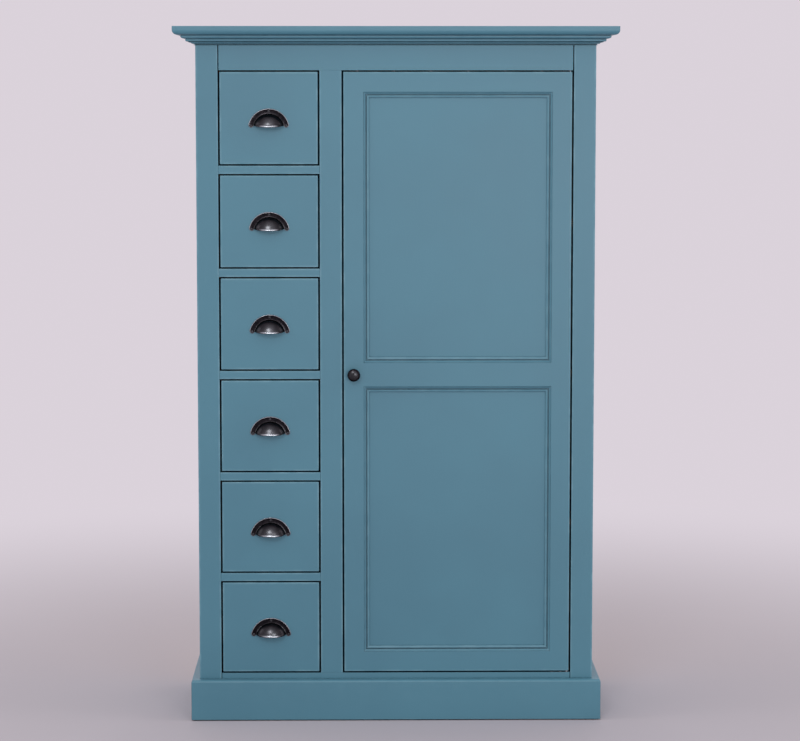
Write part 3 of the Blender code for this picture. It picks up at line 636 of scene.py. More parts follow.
# Carcase and face frame
joinery = dict(
    cornerSoft=0.0011,  # the cabinet's own upright corners
    openSoft=0.0009,  # edges round the openings
    jointSoft=0.0002,  # ends in a closed, painted joint
    jointGrow=0.0002,
    grooveSoft=0.0008,  # the upper rail's ends, which leave an open groove beside the stiles
    grooveGrow=-0.0019,
    lowerEnd=(0.0005, -0.0010),  # the lower rail's ends: easing and growth
    hiddenSoft=0.0004,
    fineSoft=0.0003,
    innerSoft=0.0006,
    shelfSoft=0.002,
    clear=0.0003,
    dadoClear=0.0002,
    dado=0.006,
    backRebate=0.010,
    sideWearAndHighlight=(0.0005, 0.001),  # how near its outer face and its ends a side's corners get wear and painted highlight
)


def buildSides():
    crossings = {"left": ("bottom_board",), "right": ("bottom_board", "shelf_3", "shelf_2", "shelf_1")}
    clear = joinery["dadoClear"]
    aside, ending = joinery["sideWearAndHighlight"]
    for hand, held in crossings.items():
        low, high = boxOf(f"side_{hand}")
        outer, wall, way = (low[x], high[x], -1) if hand == "left" else (high[x], low[x], 1)
        deep = wall + way * joinery["dado"]
        # the outline across the width and up, with a groove for each board that is let in
        corners = [(wall, low[z])]
        for crossing in held:
            bottom, top = [corner.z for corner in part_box(crossing)]
            bottom, top = bottom - clear, top + clear
            corners += [(wall, bottom), (deep, bottom), (deep, top), (wall, top)]
        corners += [(wall, high[z]), (outer, high[z]), (outer, low[z])]
        outline = easedOutline(corners[::-way], joinery["fineSoft"], **fewPoints)[0]
        normals = outwardNormals(outline)
        places, insets = easedStations(low[y], high[y], joinery["innerSoft"])[:2]
        # the last stretch steps out past the rebate, into which the back is let
        rebate = wall + way * joinery["backRebate"]
        stepped = outline.copy()
        stepped[:, 0] = (np.minimum if way < 0 else np.maximum)(stepped[:, 0], rebate)
        half = len(places) // 2
        rows = [(place, inset, outline) for place, inset in zip(places[:half], insets)]
        rows += [(backAt, 0, outline), (backAt, 0, stepped)]
        rows += [(place, inset, stepped) for place, inset in zip(places[half:], insets[half:])]
        rings = np.array([
            np.insert(flat - normals * inset, 1, place, axis=1) for place, inset, flat in rows
        ])
        deepness = rings[:, :, y]
        ended = (deepness < low[y] + ending) | (deepness > high[y] - ending)
        edge = np.isclose(rings[:, :, x], outer, atol=aside) & ended
        makePiece(f"{hand}_side", skinOf(rings, edge * 1.0, z), "carcase", f"side_{hand}")


def buildFrame():
    corner, opening, joint, hidden = valuesOf(joinery, "cornerSoft openSoft jointSoft hiddenSoft")
    closed = valuesOf(joinery, "jointSoft jointGrow")
    groove = valuesOf(joinery, "grooveSoft grooveGrow")
    # easing of the four long edges, in the order (low, low), (high, low), (high, high), (low, high),
    # and how the ends are eased and grow
    rows = (
        ("left_stile", "stile_left", z, (corner, opening, hidden, hidden), (joint, 0.0)),
        ("right_stile", "stile_right", z, (opening, corner, hidden, hidden), (joint, 0.0)),
        ("middle_stile", "stile_middle", z, (opening, opening, hidden, hidden), closed),
        ("upper_rail", "top_rail", x, (joint, hidden, hidden, hidden), groove),
        ("lower_rail", "bottom_rail", x, (hidden, hidden, hidden, joint), joinery["lowerEnd"]),
    )
    for name, node, along, soft, end in rows:
        makePiece(name, nodeBoard(node, along, soft, *end), "paint", node)


def buildDividers():
    # Seen from above each board is a T: its front edge stands between the stiles, and behind
    # them it is wider, in the grooves of the lining and the partition
    clear = joinery["clear"]
    left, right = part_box("stile_left")[1].x + clear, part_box("stile_middle")[0].x - clear
    behind = frameBackY + clear
    for number in range(1, drawerCount):
        node = f"drawer_divider_{number}"
        low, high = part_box(node)
        corners = [
            (left, low.y), (right, low.y), (right, behind), (high.x, behind),
            (high.x, high.y), (low.x, high.y), (low.x, behind), (left, behind),
        ]
        outline = easedOutline(corners, joinery["fineSoft"])
        shape = carried(outline, z, low.z, high.z, joinery["openSoft"], x)
        makePiece(f"divider_{number}", shape, "carcase", node)


def buildInside():
    inner, shelf = valuesOf(joinery, "innerSoft shelfSoft")
    rows = [
        ("upright_partition", "partition", z, inner, "carcase"),
        ("bay_lining", "drawer_bay_lining", z, inner, "carcase"),
        ("base_board", "bottom_board", x, inner, "carcase"),
        ("kicker_board", "drawer_kicker", x, inner, "carcase"),
        ("closing_strip", "door_stop", z, inner, "paint"),
    ]
    for number in range(1, 4):
        soft = (shelf, inner, inner, shelf)
        rows.append((f"cupboard_shelf_{number}", f"shelf_{number}", x, soft, "pine"))
    for name, node, along, soft, finish in rows:
        makePiece(name, nodeBoard(node, along, soft, inner), finish, node)


backLook = dict(
    boards=10,
    gap=0.0006,
    chamfer=0.0011,
    setIn=0.0012,  # how far the boards lie in from the cabinet's back edge
    screw=(0.0036, 0.0011),  # radius and height of a head
    screwRows=8,
    screwIn=0.006,  # from the panel's edges
    screwEnds=(0.05, 0.03),
    sunk=0.0001,
)


def buildBack():
    # Upright matched boards side by side, each with its edges chamfered, and screws into the
    # sides, the partition and the crossing boards
    low, high = boxOf("back_panel")
    high[y] -= backLook["setIn"]
    edges = np.linspace(low[x], high[x], backLook["boards"] + 1)
    gap = backLook["gap"] / 2
    shapes = [
        board((left + gap, low[y], low[z]), (right - gap, high[y], high[z]), z, backLook["chamfer"])
        for left, right in zip(edges, edges[1:])
    ]
    makePiece("matched_back", shapes, "pine", "back_panel")
    columns = (low[x] + backLook["screwIn"], middleOf("partition")[x], high[x] - backLook["screwIn"])
    fromLow, fromHigh = backLook["screwEnds"]
    heights = np.linspace(low[z] + fromLow, high[z] - fromHigh, backLook["screwRows"])
    levels = [middleOf(node)[z] for node in ("bottom_board", "shelf_2")]
    spots = [(column, height) for column in columns for height in heights]
    spots += [(column, level) for column in (edges[1:-2] + edges[2:-1]) / 2 for level in levels]
    heads = []
    for across, up in spots:
        centre = (across, high[y] - backLook["sunk"], up)
        heads += slottedHead(centre, (0, 1, 0), *backLook["screw"], 2, chance.uniform(0, math.pi))
    makePiece("back_screws", heads, "steel")


buildSides()
buildFrame()
buildDividers()
buildInside()
buildBack()
print("carcase, frame, shelves and back")

# Top, cornice and plinth
mouldings = dict(
    # width and height of each member, from the body out and up; the lip hangs below the solid
    lip=(0.0036, 0.0008),
    lipGap=(0.0006, 0.0025),
    foot=(0.008, 0.0005),
    cove=(0.0070, 0.0028),
    tip=(0.0010, 0.0006),
    ledge=(0.0060, 0.0052),
    ledgeRound=0.0026,
    step=(0.0011, 0.0009),
    ovolo=(0.0112, 0.0079),
    ovoloRound=0.0046,
    ovoloFall=0.0002,  # how far its upper face slopes down towards the edge
    quirk=(0.0018, 0.0013),  # depth and height of the narrow grooves between them
    bevel=0.0003,
    plinthRound=0.006,
    plinthThicker=0.002,  # than its solids
    plinthLower=0.0012,
    plinthSlot=(0.006, 0.0024),  # depth and height of the rebate along its foot
    plinthBevel=0.0006,
    plinthUpright=0.004,  # from the rebate up to the flat part of its face
    plinthSoft=0.0005,
    corniceSoft=0.0002,
    noseRound=0.0115,
    topRound=0.0007,
    # wear and painted highlight along the top's crown
    topWearAndHighlight=0.08,
    topCorners=(0.0014, 0.0014, 0.0006, 0.0006),
    topFlats=(0.006, 0.005),  # how far the top's under and upper faces reach past its roundings
    backDraw=0.0008,  # the most that the top's back edge draws in
    wear=0.3,  # share of an edge's full wear and painted highlight that the cornice and the plinth show
    seat=0.0003,
    sharp=28,  # degrees between faces, past which an edge is sharp
)


def wearAndHighlightOf(outline, sharp=25):
    # 1 at points where the outline turns outwards by more than an angle
    step = np.roll(outline, -1, 0) - outline
    heading = np.arctan2(step[:, 1], step[:, 0])
    bend = (heading - np.roll(heading, 1) + math.pi) % (2 * math.pi) - math.pi
    return np.clip(bend / math.radians(sharp), 0, 1)


def buildRuns(kind, nodes, outline, lowZ, soft):
    # Three lengths round the left side, the front and the right side, mitred at both corners
    left, right, back = bodyLow[x], bodyHigh[x], bodyHigh[y]
    path = np.array([(left, back, lowZ), (left, faceY, lowZ), (right, faceY, lowZ), (right, back, lowZ)])
    outs = np.cross(unit(np.diff(path, axis=0)), (0, 0, 1))
    mitres = [outs[0]] + [(a + b) / (1 + a @ b) for a, b in zip(outs, outs[1:])] + [outs[-1]]
    corners = list(zip(path, mitres))
    wear = mouldings["wear"]
    worn = wearAndHighlightOf(outline) * wear
    for side, first, last in zip(("left", "front", "right"), corners, corners[1:]):
        shape = mitredLength(outline, worn, first, last, (0, 0, 1), soft, endWearAndHighlight=wear)
        makePiece(f"{side}_{kind}", shape, "paint", f"{nodes}_{side}", angle=mouldings["sharp"])


def buildPlinth():
    # (out, up) from the frame's face: a rebate along the foot, an upright face, a quarter round
    low, high = boxOf("plinth_front")
    deep = faceY - low[y] + mouldings["plinthThicker"]
    seat, radius, bevel, upright = valuesOf(mouldings, "seat plinthRound plinthBevel plinthUpright")
    slotDeep, slotHigh = mouldings["plinthSlot"]
    top = high[z] - mouldings["plinthLower"]
    outline = np.concatenate([
        [(seat, 0.0), (deep - slotDeep, 0.0), (deep - slotDeep, slotHigh)],
        [(deep - bevel, slotHigh), (deep, slotHigh + bevel), (deep, slotHigh + upright)],
        arc((deep - radius, top - radius), radius, 0, 90, 10),
        [(seat, top)],
    ])
    buildRuns("plinth", "plinth", outline, 0.0, mouldings["plinthSoft"])


def buildCornice():
    # (out, up) from the body: a hanging lip, a foot, a cove and its tip, a rounded ledge, a step
    # and an ovolo under the top, each member starting where the one below it ends
    low, high = boxOf("cornice_moulding_front")
    seat, lip, gap, foot, cove, tip = valuesOf(mouldings, "seat lip lipGap foot cove tip")
    ledge, step, ovolo, quirk, bevel = valuesOf(mouldings, "ledge step ovolo quirk bevel")
    bend, turn, ovoloFall = valuesOf(mouldings, "ledgeRound ovoloRound ovoloFall")
    gapTop = gap[1] / 2
    lipTop = -gapTop
    coveUp = gapTop + foot[1]
    tipOut = foot[0] + cove[0] + tip[0]
    tipUp = coveUp + cove[1]
    ledgeOut = tipOut + ledge[0]
    ledgeUp = tipUp + tip[1] + quirk[1]
    ledgeTop = ledgeUp + ledge[1]
    ovoloUp = ledgeTop + step[1]
    ovoloOut = bodyLow[x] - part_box("cornice_moulding_left")[0].x
    ovoloTop = ovoloUp + ovolo[1]
    ovoloIn = ovoloOut - quirk[0]
    top = high[z] - low[z]
    outline = np.concatenate([
        [(seat, lipTop - lip[1]), (lip[0], lipTop - lip[1]), (lip[0], lipTop), (gap[0], lipTop)],
        [(gap[0], gapTop), (foot[0], gapTop)],
        arc((foot[0] + cove[0], coveUp), cove, 180, 90, 9),
        [(tipOut, tipUp), (tipOut, tipUp + tip[1]), (tipOut - quirk[0], tipUp + tip[1])],
        [(tipOut - quirk[0], ledgeUp)],
        arc((ledgeOut - bend, ledgeUp + bend), bend, -90, 0, 6),
        [(ledgeOut, ledgeTop - bevel), (ledgeOut - bevel, ledgeTop), (ledgeOut - step[0], ledgeTop)],
        [(ledgeOut - step[0], ovoloUp)],
        arc((ovoloOut - ovolo[0], ovoloUp + turn), (ovolo[0], turn), -90, 0, 10),
        [(ovoloOut, ovoloTop), (ovoloIn, ovoloTop + ovoloFall), (ovoloIn, top), (seat, top)],
    ])
    buildRuns("cornice", "cornice_moulding", outline, low[z], mouldings["corniceSoft"])


def buildTop():
    # The board's outline in plan, at heights from its underside up: each ring draws in by a
    # quarter circle under the nose and by a small one at the top. The back edge stays square
    low, high = boxOf("top_board")
    nose, crown = valuesOf(mouldings, "noseRound topRound")
    flatUnder, flatOver = mouldings["topFlats"]
    thick = high[z] - low[z]
    under = np.radians(np.linspace(0, 90, 11))
    over = np.radians(np.linspace(0, 90, 4))
    insets = [[nose + flatUnder], nose * (1 - np.sin(under)), crown * (1 - np.cos(over)), [crown + flatOver]]
    heights = [[0], nose * (1 - np.cos(under)), thick - crown * (1 - np.sin(over)), [thick]]
    rings = []
    for inset, height in zip(np.concatenate(insets), np.concatenate(heights)):
        back = high[y] - min(inset, mouldings["backDraw"])
        corners = rectangle((low[x] + inset, low[y] + inset), (high[x] - inset, back))
        plan = easedOutline(corners, mouldings["topCorners"])[0]
        rings.append(np.insert(plan, 2, low[z] + height, axis=1))
    wear = np.zeros((len(rings), 1))
    wear[-5:-1] = mouldings["topWearAndHighlight"]
    makePiece("moulded_top", skinOf(rings, wear, x), "paint", "top_board", angle=mouldings["sharp"])


buildPlinth()
buildCornice()
buildTop()
print("plinth, cornice and top")

# Door
doorLook = dict(
    openSoft=0.0009,
    hiddenSoft=0.0008,
    fineSoft=0.0003,
    clear=0.0006,  # how far the door's upper and lower edges stay in from its solid
    clearSide=0.0013,
    jointSoft=0.00015,
    jointGrow=0.0008,
    jointBack=0.00005,  # the rails' faces lie this far behind the stiles'
    stileMouth=0.0002,  # easing of the edges beside the panels' mouldings
    railMouth=0.0004,
    recess=0.008,
    # how far each opening is cut wider than its panel moulding's solid
    wider=dict(left=0.0010, right=0.0026, bottom=0.0024, top=0.0014),
    groove=0.009,
    grooveClear=0.0003,
    panel=0.007,
    panelSoft=0.0004,
    # the panel mouldings
    step=0.0007,  # how far the outer slope starts behind the frame's face
    inside=0.0001,  # how far the outer side lies inside the opening
    offPanel=0.0003,  # gap between the moulding and the panel
    bevel=0.0004,
    lean=0.0002,  # how much the quirk's sides lean inwards
    lead=0.0006,  # width of the flat before the outer slope
    slope=(0.0040, 0.0030),
    hollow=0.0012,
    quirk=(0.0036, 0.0013),  # width, and how far its bottom is from the panel
    ovolo=(0.0047, 0.0021),
    ovoloFoot=0.0022,
    seat=0.0003,
    mitreGap=0.00005,
)


def buildDoorFrame():
    edge, hidden, fine, clear = valuesOf(doorLook, "openSoft hiddenSoft fineSoft clear")
    groove, wider, room = valuesOf(doorLook, "groove wider grooveClear")
    front = faceY + doorLook["recess"] - room
    back = faceY + doorLook["recess"] + doorLook["panel"] + room
    for side, hand, wide in (("lock", 1, wider["left"]), ("hinge", -1, wider["right"])):
        # in plan, from the edge beside the frame to the grooved edge
        low, high = boxOf(f"door_stile_{side}")
        outer, inner = (low[x], high[x])[::hand]
        outer, inner = outer + hand * doorLook["clearSide"], inner - hand * wide
        bottom = inner - hand * (groove - wide)
        corners = [
            (outer, low[y]), (inner, low[y]), (inner, front), (bottom, front),
            (bottom, back), (inner, back), (inner, high[y]), (outer, high[y]),
        ]
        soft = [edge, doorLook["stileMouth"], fine, fine, fine, fine, hidden, hidden]
        outline = easedOutline(corners[::hand], soft[::hand])
        shape = carried(outline, z, low[z] + clear, high[z] - clear, edge)
        makePiece(f"{side}_stile", shape, "paint", f"door_stile_{side}", "door")
    slot = [(front, 0), (front, groove), (back, groove), (back, 0)]
    mouth, grow, joint = valuesOf(doorLook, "railMouth jointGrow jointSoft")
    for level, below, above in (("top", True, False), ("middle", True, True), ("bottom", False, True)):
        # in depth and height, with a groove in each edge that has a panel below or above it
        low, high = boxOf(f"door_rail_{level}")
        low += (-wider["left"], doorLook["jointBack"], wider["top"] if below else clear)
        high -= (-wider["right"], 0, wider["bottom"] if above else clear)
        lower = [(deep, low[z] + cut) for deep, cut in slot if below]
        upper = [(deep, high[z] - cut) for deep, cut in slot[::-1] if above]
        backEdge = [(high[y], low[z]), (high[y], high[z])]
        corners = [(low[y], low[z])] + lower + backEdge + upper + [(low[y], high[z])]
        soft = [mouth if below else edge] + [fine] * len(lower) + [hidden] * 2
        soft += [fine] * len(upper) + [mouth if above else edge]
        outline = easedOutline(corners, soft)
        shape = carried(outline, x, low[x] - grow, high[x] + grow, joint, None, 0.0)
        makePiece(f"door_{level}_rail", shape, "paint", f"door_rail_{level}", "door")


def buildDoorPanels():
    # (in from the frame's edge, forward of the panel): a hollowed slope, a deep narrow quirk
    # beside it, and a quarter round that ends in a small step
    full = doorLook["recess"] - doorLook["step"]
    lead, foot, seat, wider = valuesOf(doorLook, "lead ovoloFoot seat wider")
    inside, off, bevel, lean = valuesOf(doorLook, "inside offPanel bevel lean")
    soft, joint, gap = valuesOf(doorLook, "panelSoft jointSoft mitreGap")
    wide, fall = doorLook["slope"]
    quirkWide, quirkHigh = doorLook["quirk"]
    ovoloWide, ovoloHigh = doorLook["ovolo"]
    slopeEnd = lead + wide
    ovoloStart = slopeEnd + quirkWide
    share = np.linspace(0, 1, 6)[:, None]
    slope = np.array((lead, full)) + share * (wide, -fall) - share * (1 - share) * (0.0, doorLook["hollow"])
    outline = np.concatenate([
        [(inside, off), (inside, full - bevel)],
        slope,
        [(slopeEnd + lean, quirkHigh), (ovoloStart - lean, quirkHigh)],
        [(ovoloStart, foot + ovoloHigh - bevel)],
        arc((ovoloStart + bevel, foot), (ovoloWide, ovoloHigh), 90, 0, 9),
        [(ovoloStart + bevel + ovoloWide, off)],
    ])[::-1]
    worn = wearAndHighlightOf(outline)
    inwards = [(1, 0, 1), (-1, 0, 1), (-1, 0, -1), (1, 0, -1)]
    front = faceY + doorLook["recess"]
    for level in ("upper", "lower"):
        panel = nodeBoard(f"door_panel_{level}", z, soft, soft)
        makePiece(f"{level}_door_panel", panel, "paint", f"door_panel_{level}", "door")
        low, high = boxOf(f"panel_moulding_{level}")
        left, right = low[x] - seat - wider["left"], high[x] + seat + wider["right"]
        bottom, top = low[z] - seat - wider["bottom"], high[z] + seat + wider["top"]
        corners = [(left, front, bottom), (right, front, bottom), (right, front, top), (left, front, top)]
        turns = list(zip(corners, inwards))
        shapes = [
            mitredLength(outline, worn, first, last, (0, -1, 0), joint, gap)
            for first, last in zip(turns, turns[1:] + turns[:1])
        ]
        node = f"panel_moulding_{level}"
        makePiece(f"{level}_panel_moulding", shapes, "paint", node, "door", angle=mouldings["sharp"])


knobLook = dict(
    head=0.0155,
    headThick=0.014,
    neck=0.0060,
    base=0.0090,
    baseThick=0.003,
    baseUnder=0.0005,  # how far the base draws in below
    baseRound=(0.0008, 0.0010),  # radius of its edge, and its centre's depth below the base's top
    lowerCove=0.0016,
    # radius, and how far its centre is below the head's middle: a share of its thickness, and more
    upperCove=(0.0022, 0.44, 0.0016),
    projection=0.026,
    face=0.0118,  # radius of the face inside the rim's groove
    faceSunk=0.0004,
    faceWear=(0.07, 0.002),  # and the width it fades over
    washer=(0.0052, 0.0005),  # radius and height
    bolt=(0.0036, 0.0017),
    boltTurn=0.7,
    sunk=0.0004,
)


def buildKnob():
    centre = middleOf("door_knob")
    centre[y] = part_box("door_knob")[1].y
    head, thick, neck, base, baseThick = valuesOf(knobLook, "head headThick neck base baseThick")
    bend, down = knobLook["baseRound"]
    lower, (upper, share, more) = valuesOf(knobLook, "lowerCove upperCove")
    wear, fade = knobLook["faceWear"]
    middle = knobLook["projection"] - thick / 2
    # radius and height over the door, from the foot to the middle of the face
    profile = np.concatenate([
        [(0.0, 0.0), (base - knobLook["baseUnder"], 0.0)],
        arc((base - bend, baseThick - down), bend, -60, 90, 6),
        arc((neck + lower, baseThick + lower), lower, -90, -180, 5),
        arc((neck + upper, middle - thick * share - more), upper, 180, 110, 4),
        arc((0.0, middle), (head, thick / 2), -58, 36, 18),
        arc((0.0, middle), (head, thick / 2 - knobLook["faceSunk"]), 40, 90, 14),
    ])
    profile[-1, 0] = 0.0
    face = np.clip((knobLook["face"] - profile[:, 0]) / fade, 0, 1) * (profile[:, 1] > middle)
    knob = turned(profile, centre, (0, -1, 0), face * wear, 56)
    makePiece("turned_knob", knob, "bronze", "door_knob", "door")
    inside = centre.copy()
    inside[y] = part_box("door_stile_lock")[1].y - knobLook["sunk"]
    radius, height = knobLook["washer"]
    disc = [(0, 0), (radius, 0), (radius, height), (0, height)]
    washer = turned(disc, inside, (0, 1, 0), 0.3, 24)
    spot = inside + (0, height, 0)
    bolt = slottedHead(spot, (0, 1, 0), *knobLook["bolt"], 2, knobLook["boltTurn"])
    makePiece("knob_bolt", [washer] + bolt, "steel", body="door")


hingeLook = dict(
    thick=0.0025,  # of a leaf
    soft=(0.0012, 0.0002),  # of its corners and its faces
    proud=0.00012,
    screwProud=0.00005,
    wear=0.2,
    pin=(0.0020, 0.0006),  # radius and easing of the tip
    collar=(0.0038, 0.0034, 0.0003),  # radius, height and easing
    screw=(0.0026, 0.0006),
    screwIn=0.006,
    screwApart=0.42,  # share of the leaf's length
)


def buildHinges():
    for level in ("top", "bottom"):
        for part, body in (("frame", "cabinet"), ("door", "door")):
            node = f"hinge_{level}_{part}_leaf"
            low, high = boxOf(node)
            # the leaf's show face looks into the gap between the door and the frame
            up = 1 if (level == "bottom") == (part == "frame") else -1
            tip = high[z] if up > 0 else low[z]
            if part == "frame":
                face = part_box("bottom_rail")[1].z if up > 0 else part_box("top_rail")[0].z
            else:
                face = tip - up * doorLook["clear"]
            under, over = sorted((face - up * hingeLook["thick"], face + up * hingeLook["proud"]))
            shapes = [board((low[x], low[y], under), (high[x], high[y], over), z, *hingeLook["soft"])]
            pivot = (high[x] - (high[y] - low[y]) / 2, (low[y] + high[y]) / 2, face)
            if part == "frame":
                radius, ease = hingeLook["pin"]
                pegs = [peg(radius, abs(tip - face), ease)]
                pegs += [peg(*hingeLook["collar"])] if level == "bottom" else []
                shapes += [turned(shape, pivot, (0, 0, up), hingeLook["wear"], 24) for shape in pegs]
            makePiece(f"{part}_leaf_{level}", shapes, "steel", node, body)
            heads = []
            for share in (0, hingeLook["screwApart"]):
                across = low[x] + hingeLook["screwIn"] + (high[x] - low[x]) * share
                spot = (across, pivot[y], face + up * hingeLook["screwProud"])
                heads += slottedHead(spot, (0, 0, up), *hingeLook["screw"], 1, chance.uniform(0, 3))
            makePiece(f"{part}_leaf_{level}_screws", heads, "steel", body=body)


catchLook = dict(
    width=0.013,
    height=0.042,
    depth=0.022,
    fromTop=0.075,
    clear=0.0003,
    setBack=0.0006,  # of the case behind its jaws
    caseSoft=(0.0012, 0.0012),
    jawApart=0.0025,  # from the case's middle
    jawHalf=0.0008,
    jawIn=0.006,  # from the case's ends
    jawDeep=0.004,
    jawSoft=(0.0002, 0.0002),
    plateHalf=0.006,
    plateIn=0.003,
    plateThick=0.0009,
    plateProud=0.00008,
    plateSoft=(0.0003, 0.002),
)


def buildCatch():
    # A magnet in a plastic case beside the closing strip, and its plate let into the door
    strip, stile = boxOf("door_stop"), boxOf("door_stile_lock")
    left, front = strip[1][x] + catchLook["clear"], strip[0][y] + catchLook["clear"]
    top = stile[1][z] - catchLook["fromTop"]
    bottom = top - catchLook["height"]
    low = (left, front + catchLook["setBack"], bottom)
    high = (left + catchLook["width"], front + catchLook["depth"], top)
    makePiece("catch_case", board(low, high, z, *catchLook["caseSoft"]), "plastic")
    middle = left + catchLook["width"] / 2
    half, short = valuesOf(catchLook, "jawHalf jawIn")
    jaws = []
    for jaw in (middle - catchLook["jawApart"], middle + catchLook["jawApart"]):
        low = (jaw - half, front, bottom + short)
        high = (jaw + half, front + catchLook["jawDeep"], top - short)
        jaws.append(board(low, high, z, *catchLook["jawSoft"]))
    makePiece("catch_magnet", jaws, "steel")
    half, short = valuesOf(catchLook, "plateHalf plateIn")
    low = (middle - half, stile[1][y] - catchLook["plateThick"], bottom + short)
    high = (middle + half, stile[1][y] + catchLook["plateProud"], top - short)
    makePiece("catch_plate", board(low, high, z, *catchLook["plateSoft"]), "steel", body="door")


buildDoorFrame()
buildDoorPanels()
buildKnob()
buildHinges()
buildCatch()
print("door, knob, hinges and catch")

# Drawers
drawerLook = dict(
    frontSoft=0.0012,
    backSoft=0.0006,
    clear=0.0006,  # how far the painted front's upper and lower edges stay in from its solid
    clearSide=0.0013,
    wall=0.012,
    wallSoft=0.0003,
    topSoft=0.00048,
    bottom=0.006,
    bottomRaise=0.0025,
    bottomClear=0.00025,
    fingers=9,
    fingerClear=0.00012,
    fingerShort=0.00015,
)


def comb(low, high, near, far, first):
    # Corners up one end of a board: it steps between near and far at even heights, and a finger
    # is a little lower than its socket
    count = drawerLook["fingers"]
    steps = np.linspace(low, high, count + 1)
    isFar = (np.arange(count) % 2 == 0) == first
    room = np.where(isFar, 1, -1) * drawerLook["fingerClear"]
    bottoms, tops = steps[:-1] + room, steps[1:] - room
    bottoms[0], tops[-1] = low, high
    return list(zip(np.repeat(np.where(isFar, far, near), 2), np.stack([bottoms, tops], 1).ravel()))


def drawerBox(number):
    low, high = boxOf(f"drawer_box_{number}")
    wall, soft, gap = valuesOf(drawerLook, "wall wallSoft bottomClear")
    inner = high - wall + drawerLook["fingerShort"]
    # sides: outline in depth and height, with fingers at the back
    ends = comb(low[z], high[z], inner[y], high[y], True)
    outline = easedOutline([(low[y], low[z])] + ends + [(low[y], high[z])], soft, **fewPoints)
    lefts = (low[x], high[x] - wall)
    shapes = [carried(outline, x, left, left + wall, drawerLook["topSoft"], y) for left in lefts]
    # back: outline across the width and up, with fingers at both ends
    right = comb(low[z], high[z], inner[x], high[x], False)
    left = [(low[x] + high[x] - across, up) for across, up in right][::-1]
    outline = easedOutline(right + left, soft, **fewPoints)
    shapes.append(carried(outline, y, high[y] - wall, high[y], grainAlong=x))
    floor = low[z] + drawerLook["bottomRaise"]
    bottomLow = (low[x] + wall + gap, low[y] + gap, floor)
    bottomHigh = (high[x] - wall - gap, high[y] - wall - gap, floor + drawerLook["bottom"])
    return shapes + [board(bottomLow, bottomHigh, y, soft, soft)]


def buildDrawers():
    soft, backSoft = valuesOf(drawerLook, "frontSoft backSoft")
    clear = np.array((drawerLook["clearSide"], 0, drawerLook["clear"]))
    for number in range(1, drawerCount + 1):
        body = f"drawer_{number}"
        low, high = boxOf(f"drawer_front_{number}")
        front = board(low + clear, high - clear, x, (soft, backSoft, backSoft, soft), soft)
        makePiece(f"painted_front_{number}", front, "paint", f"drawer_front_{number}", body, behind="pine")
        box = drawerBox(number)
        makePiece(f"jointed_box_{number}", box, "carcase", f"drawer_box_{number}", body)


# Cup pull
pullLook = dict(
    outer=0.0499,
    flange=0.0127,
    thick=0.0022,
    endAngle=14.5,
    depth=0.025,
    wall=0.0016,
    lipBack=0.0095,
    lipFront=0.0055,
    lipBand=0.0029,  # height of the raised band along the lip
    lipBead=0.0009,
    footBead=(0.0010, 0.0020, 0.0010),  # height, distance from the face and width
    # beads and wall grow with a slice's radius: the span, and where on it each of them starts
    growOver=0.02,
    beadStart=0.5,
    wallStart=0.3,
    wallLeast=0.15,  # share of the wall in the smallest slices
    reach=0.9995,  # share of the dome's half width at which the outermost slices are
    bunched=0.85,  # under 1, a slice's points lie closer together towards the lip
    offFace=0.0006,  # the dome stays this far off the drawer's face
    lipWear=(0.012, 0.014),  # half width of the lip's full wear, and the width it fades over
    lipInside=0.5,  # wear where the lip's edge starts, which fades out round it
    footWear=0.5,
    handled=0.19,  # wear in the middle of the dome, and the half width it fades out over
    handledHalf=0.019,
    handledDown=(0.40, 0.45),  # where down a slice it starts, and the share it grows over
    under=0.0003,  # the flange's underside stays this far off the drawer's face
    bevel=(0.0004, 0.0003),
    rimRound=0.0009,
    rim=0.0003,  # height of the rim over the flange
    # inset and height over the flange, where the rim slopes down inwards
    rimSlope=((0.0018, 0.0002), (0.0030, -0.0001), (0.0042, -0.0002)),
    rimWear=(0.5, 0.9, 1.0, 0.9, 0.6),
    screw=(0.0029, 0.0013),
    screwSunk=0.0001,
    screwWear=0.10,
    screwLow=2,  # degrees from the flange's end angle down to its end screws
)


def pullFlange(centre):
    # A half ring with round ends. Each point starts on the ring's middle line and moves out
    # along its normal by the half width less the inset of its row
    thick, under, bend, slope = valuesOf(pullLook, "thick under rimRound rimSlope")
    half = pullLook["flange"] / 2
    ends = math.radians(pullLook["endAngle"])
    sweep = np.linspace(ends, math.pi - ends, 49)
    lobe = np.linspace(0, math.pi, 13)[1:-1]
    still = np.ones(len(lobe))
    angle = np.concatenate([sweep, still * (math.pi - ends), sweep[::-1], still * ends])
    normal = np.concatenate([sweep, math.pi - ends + lobe, sweep[::-1] + math.pi, ends + math.pi + lobe])
    bevelWide, bevelHigh = pullLook["bevel"]
    # inset and height of each row, from the middle of the underside round the rim to the face
    section = np.concatenate([
        [(half, under), (bevelWide, under), (0.0, under + bevelHigh)],
        arc((bend, thick + pullLook["rim"] - bend), bend, 180, 90, 4),
        np.add(slope, (0, thick)),
        [(half, thick + slope[-1][1])],
    ])
    inset, rise = section[:, :1], section[:, 1:]
    flat = around(angle) * (pullLook["outer"] - half) + around(normal) * (half - inset)[:, :, None]
    rings = np.stack([flat[:, :, 0], 0 * angle - rise, flat[:, :, 1]], -1) + centre
    edge = np.zeros(len(inset))
    edge[3:8] = pullLook["rimWear"]
    outside = np.concatenate([np.ones(49), still * 0.6, np.full(49, 0.25), still * 0.6])
    return skinOf(rings, edge[:, None] * outside, y)


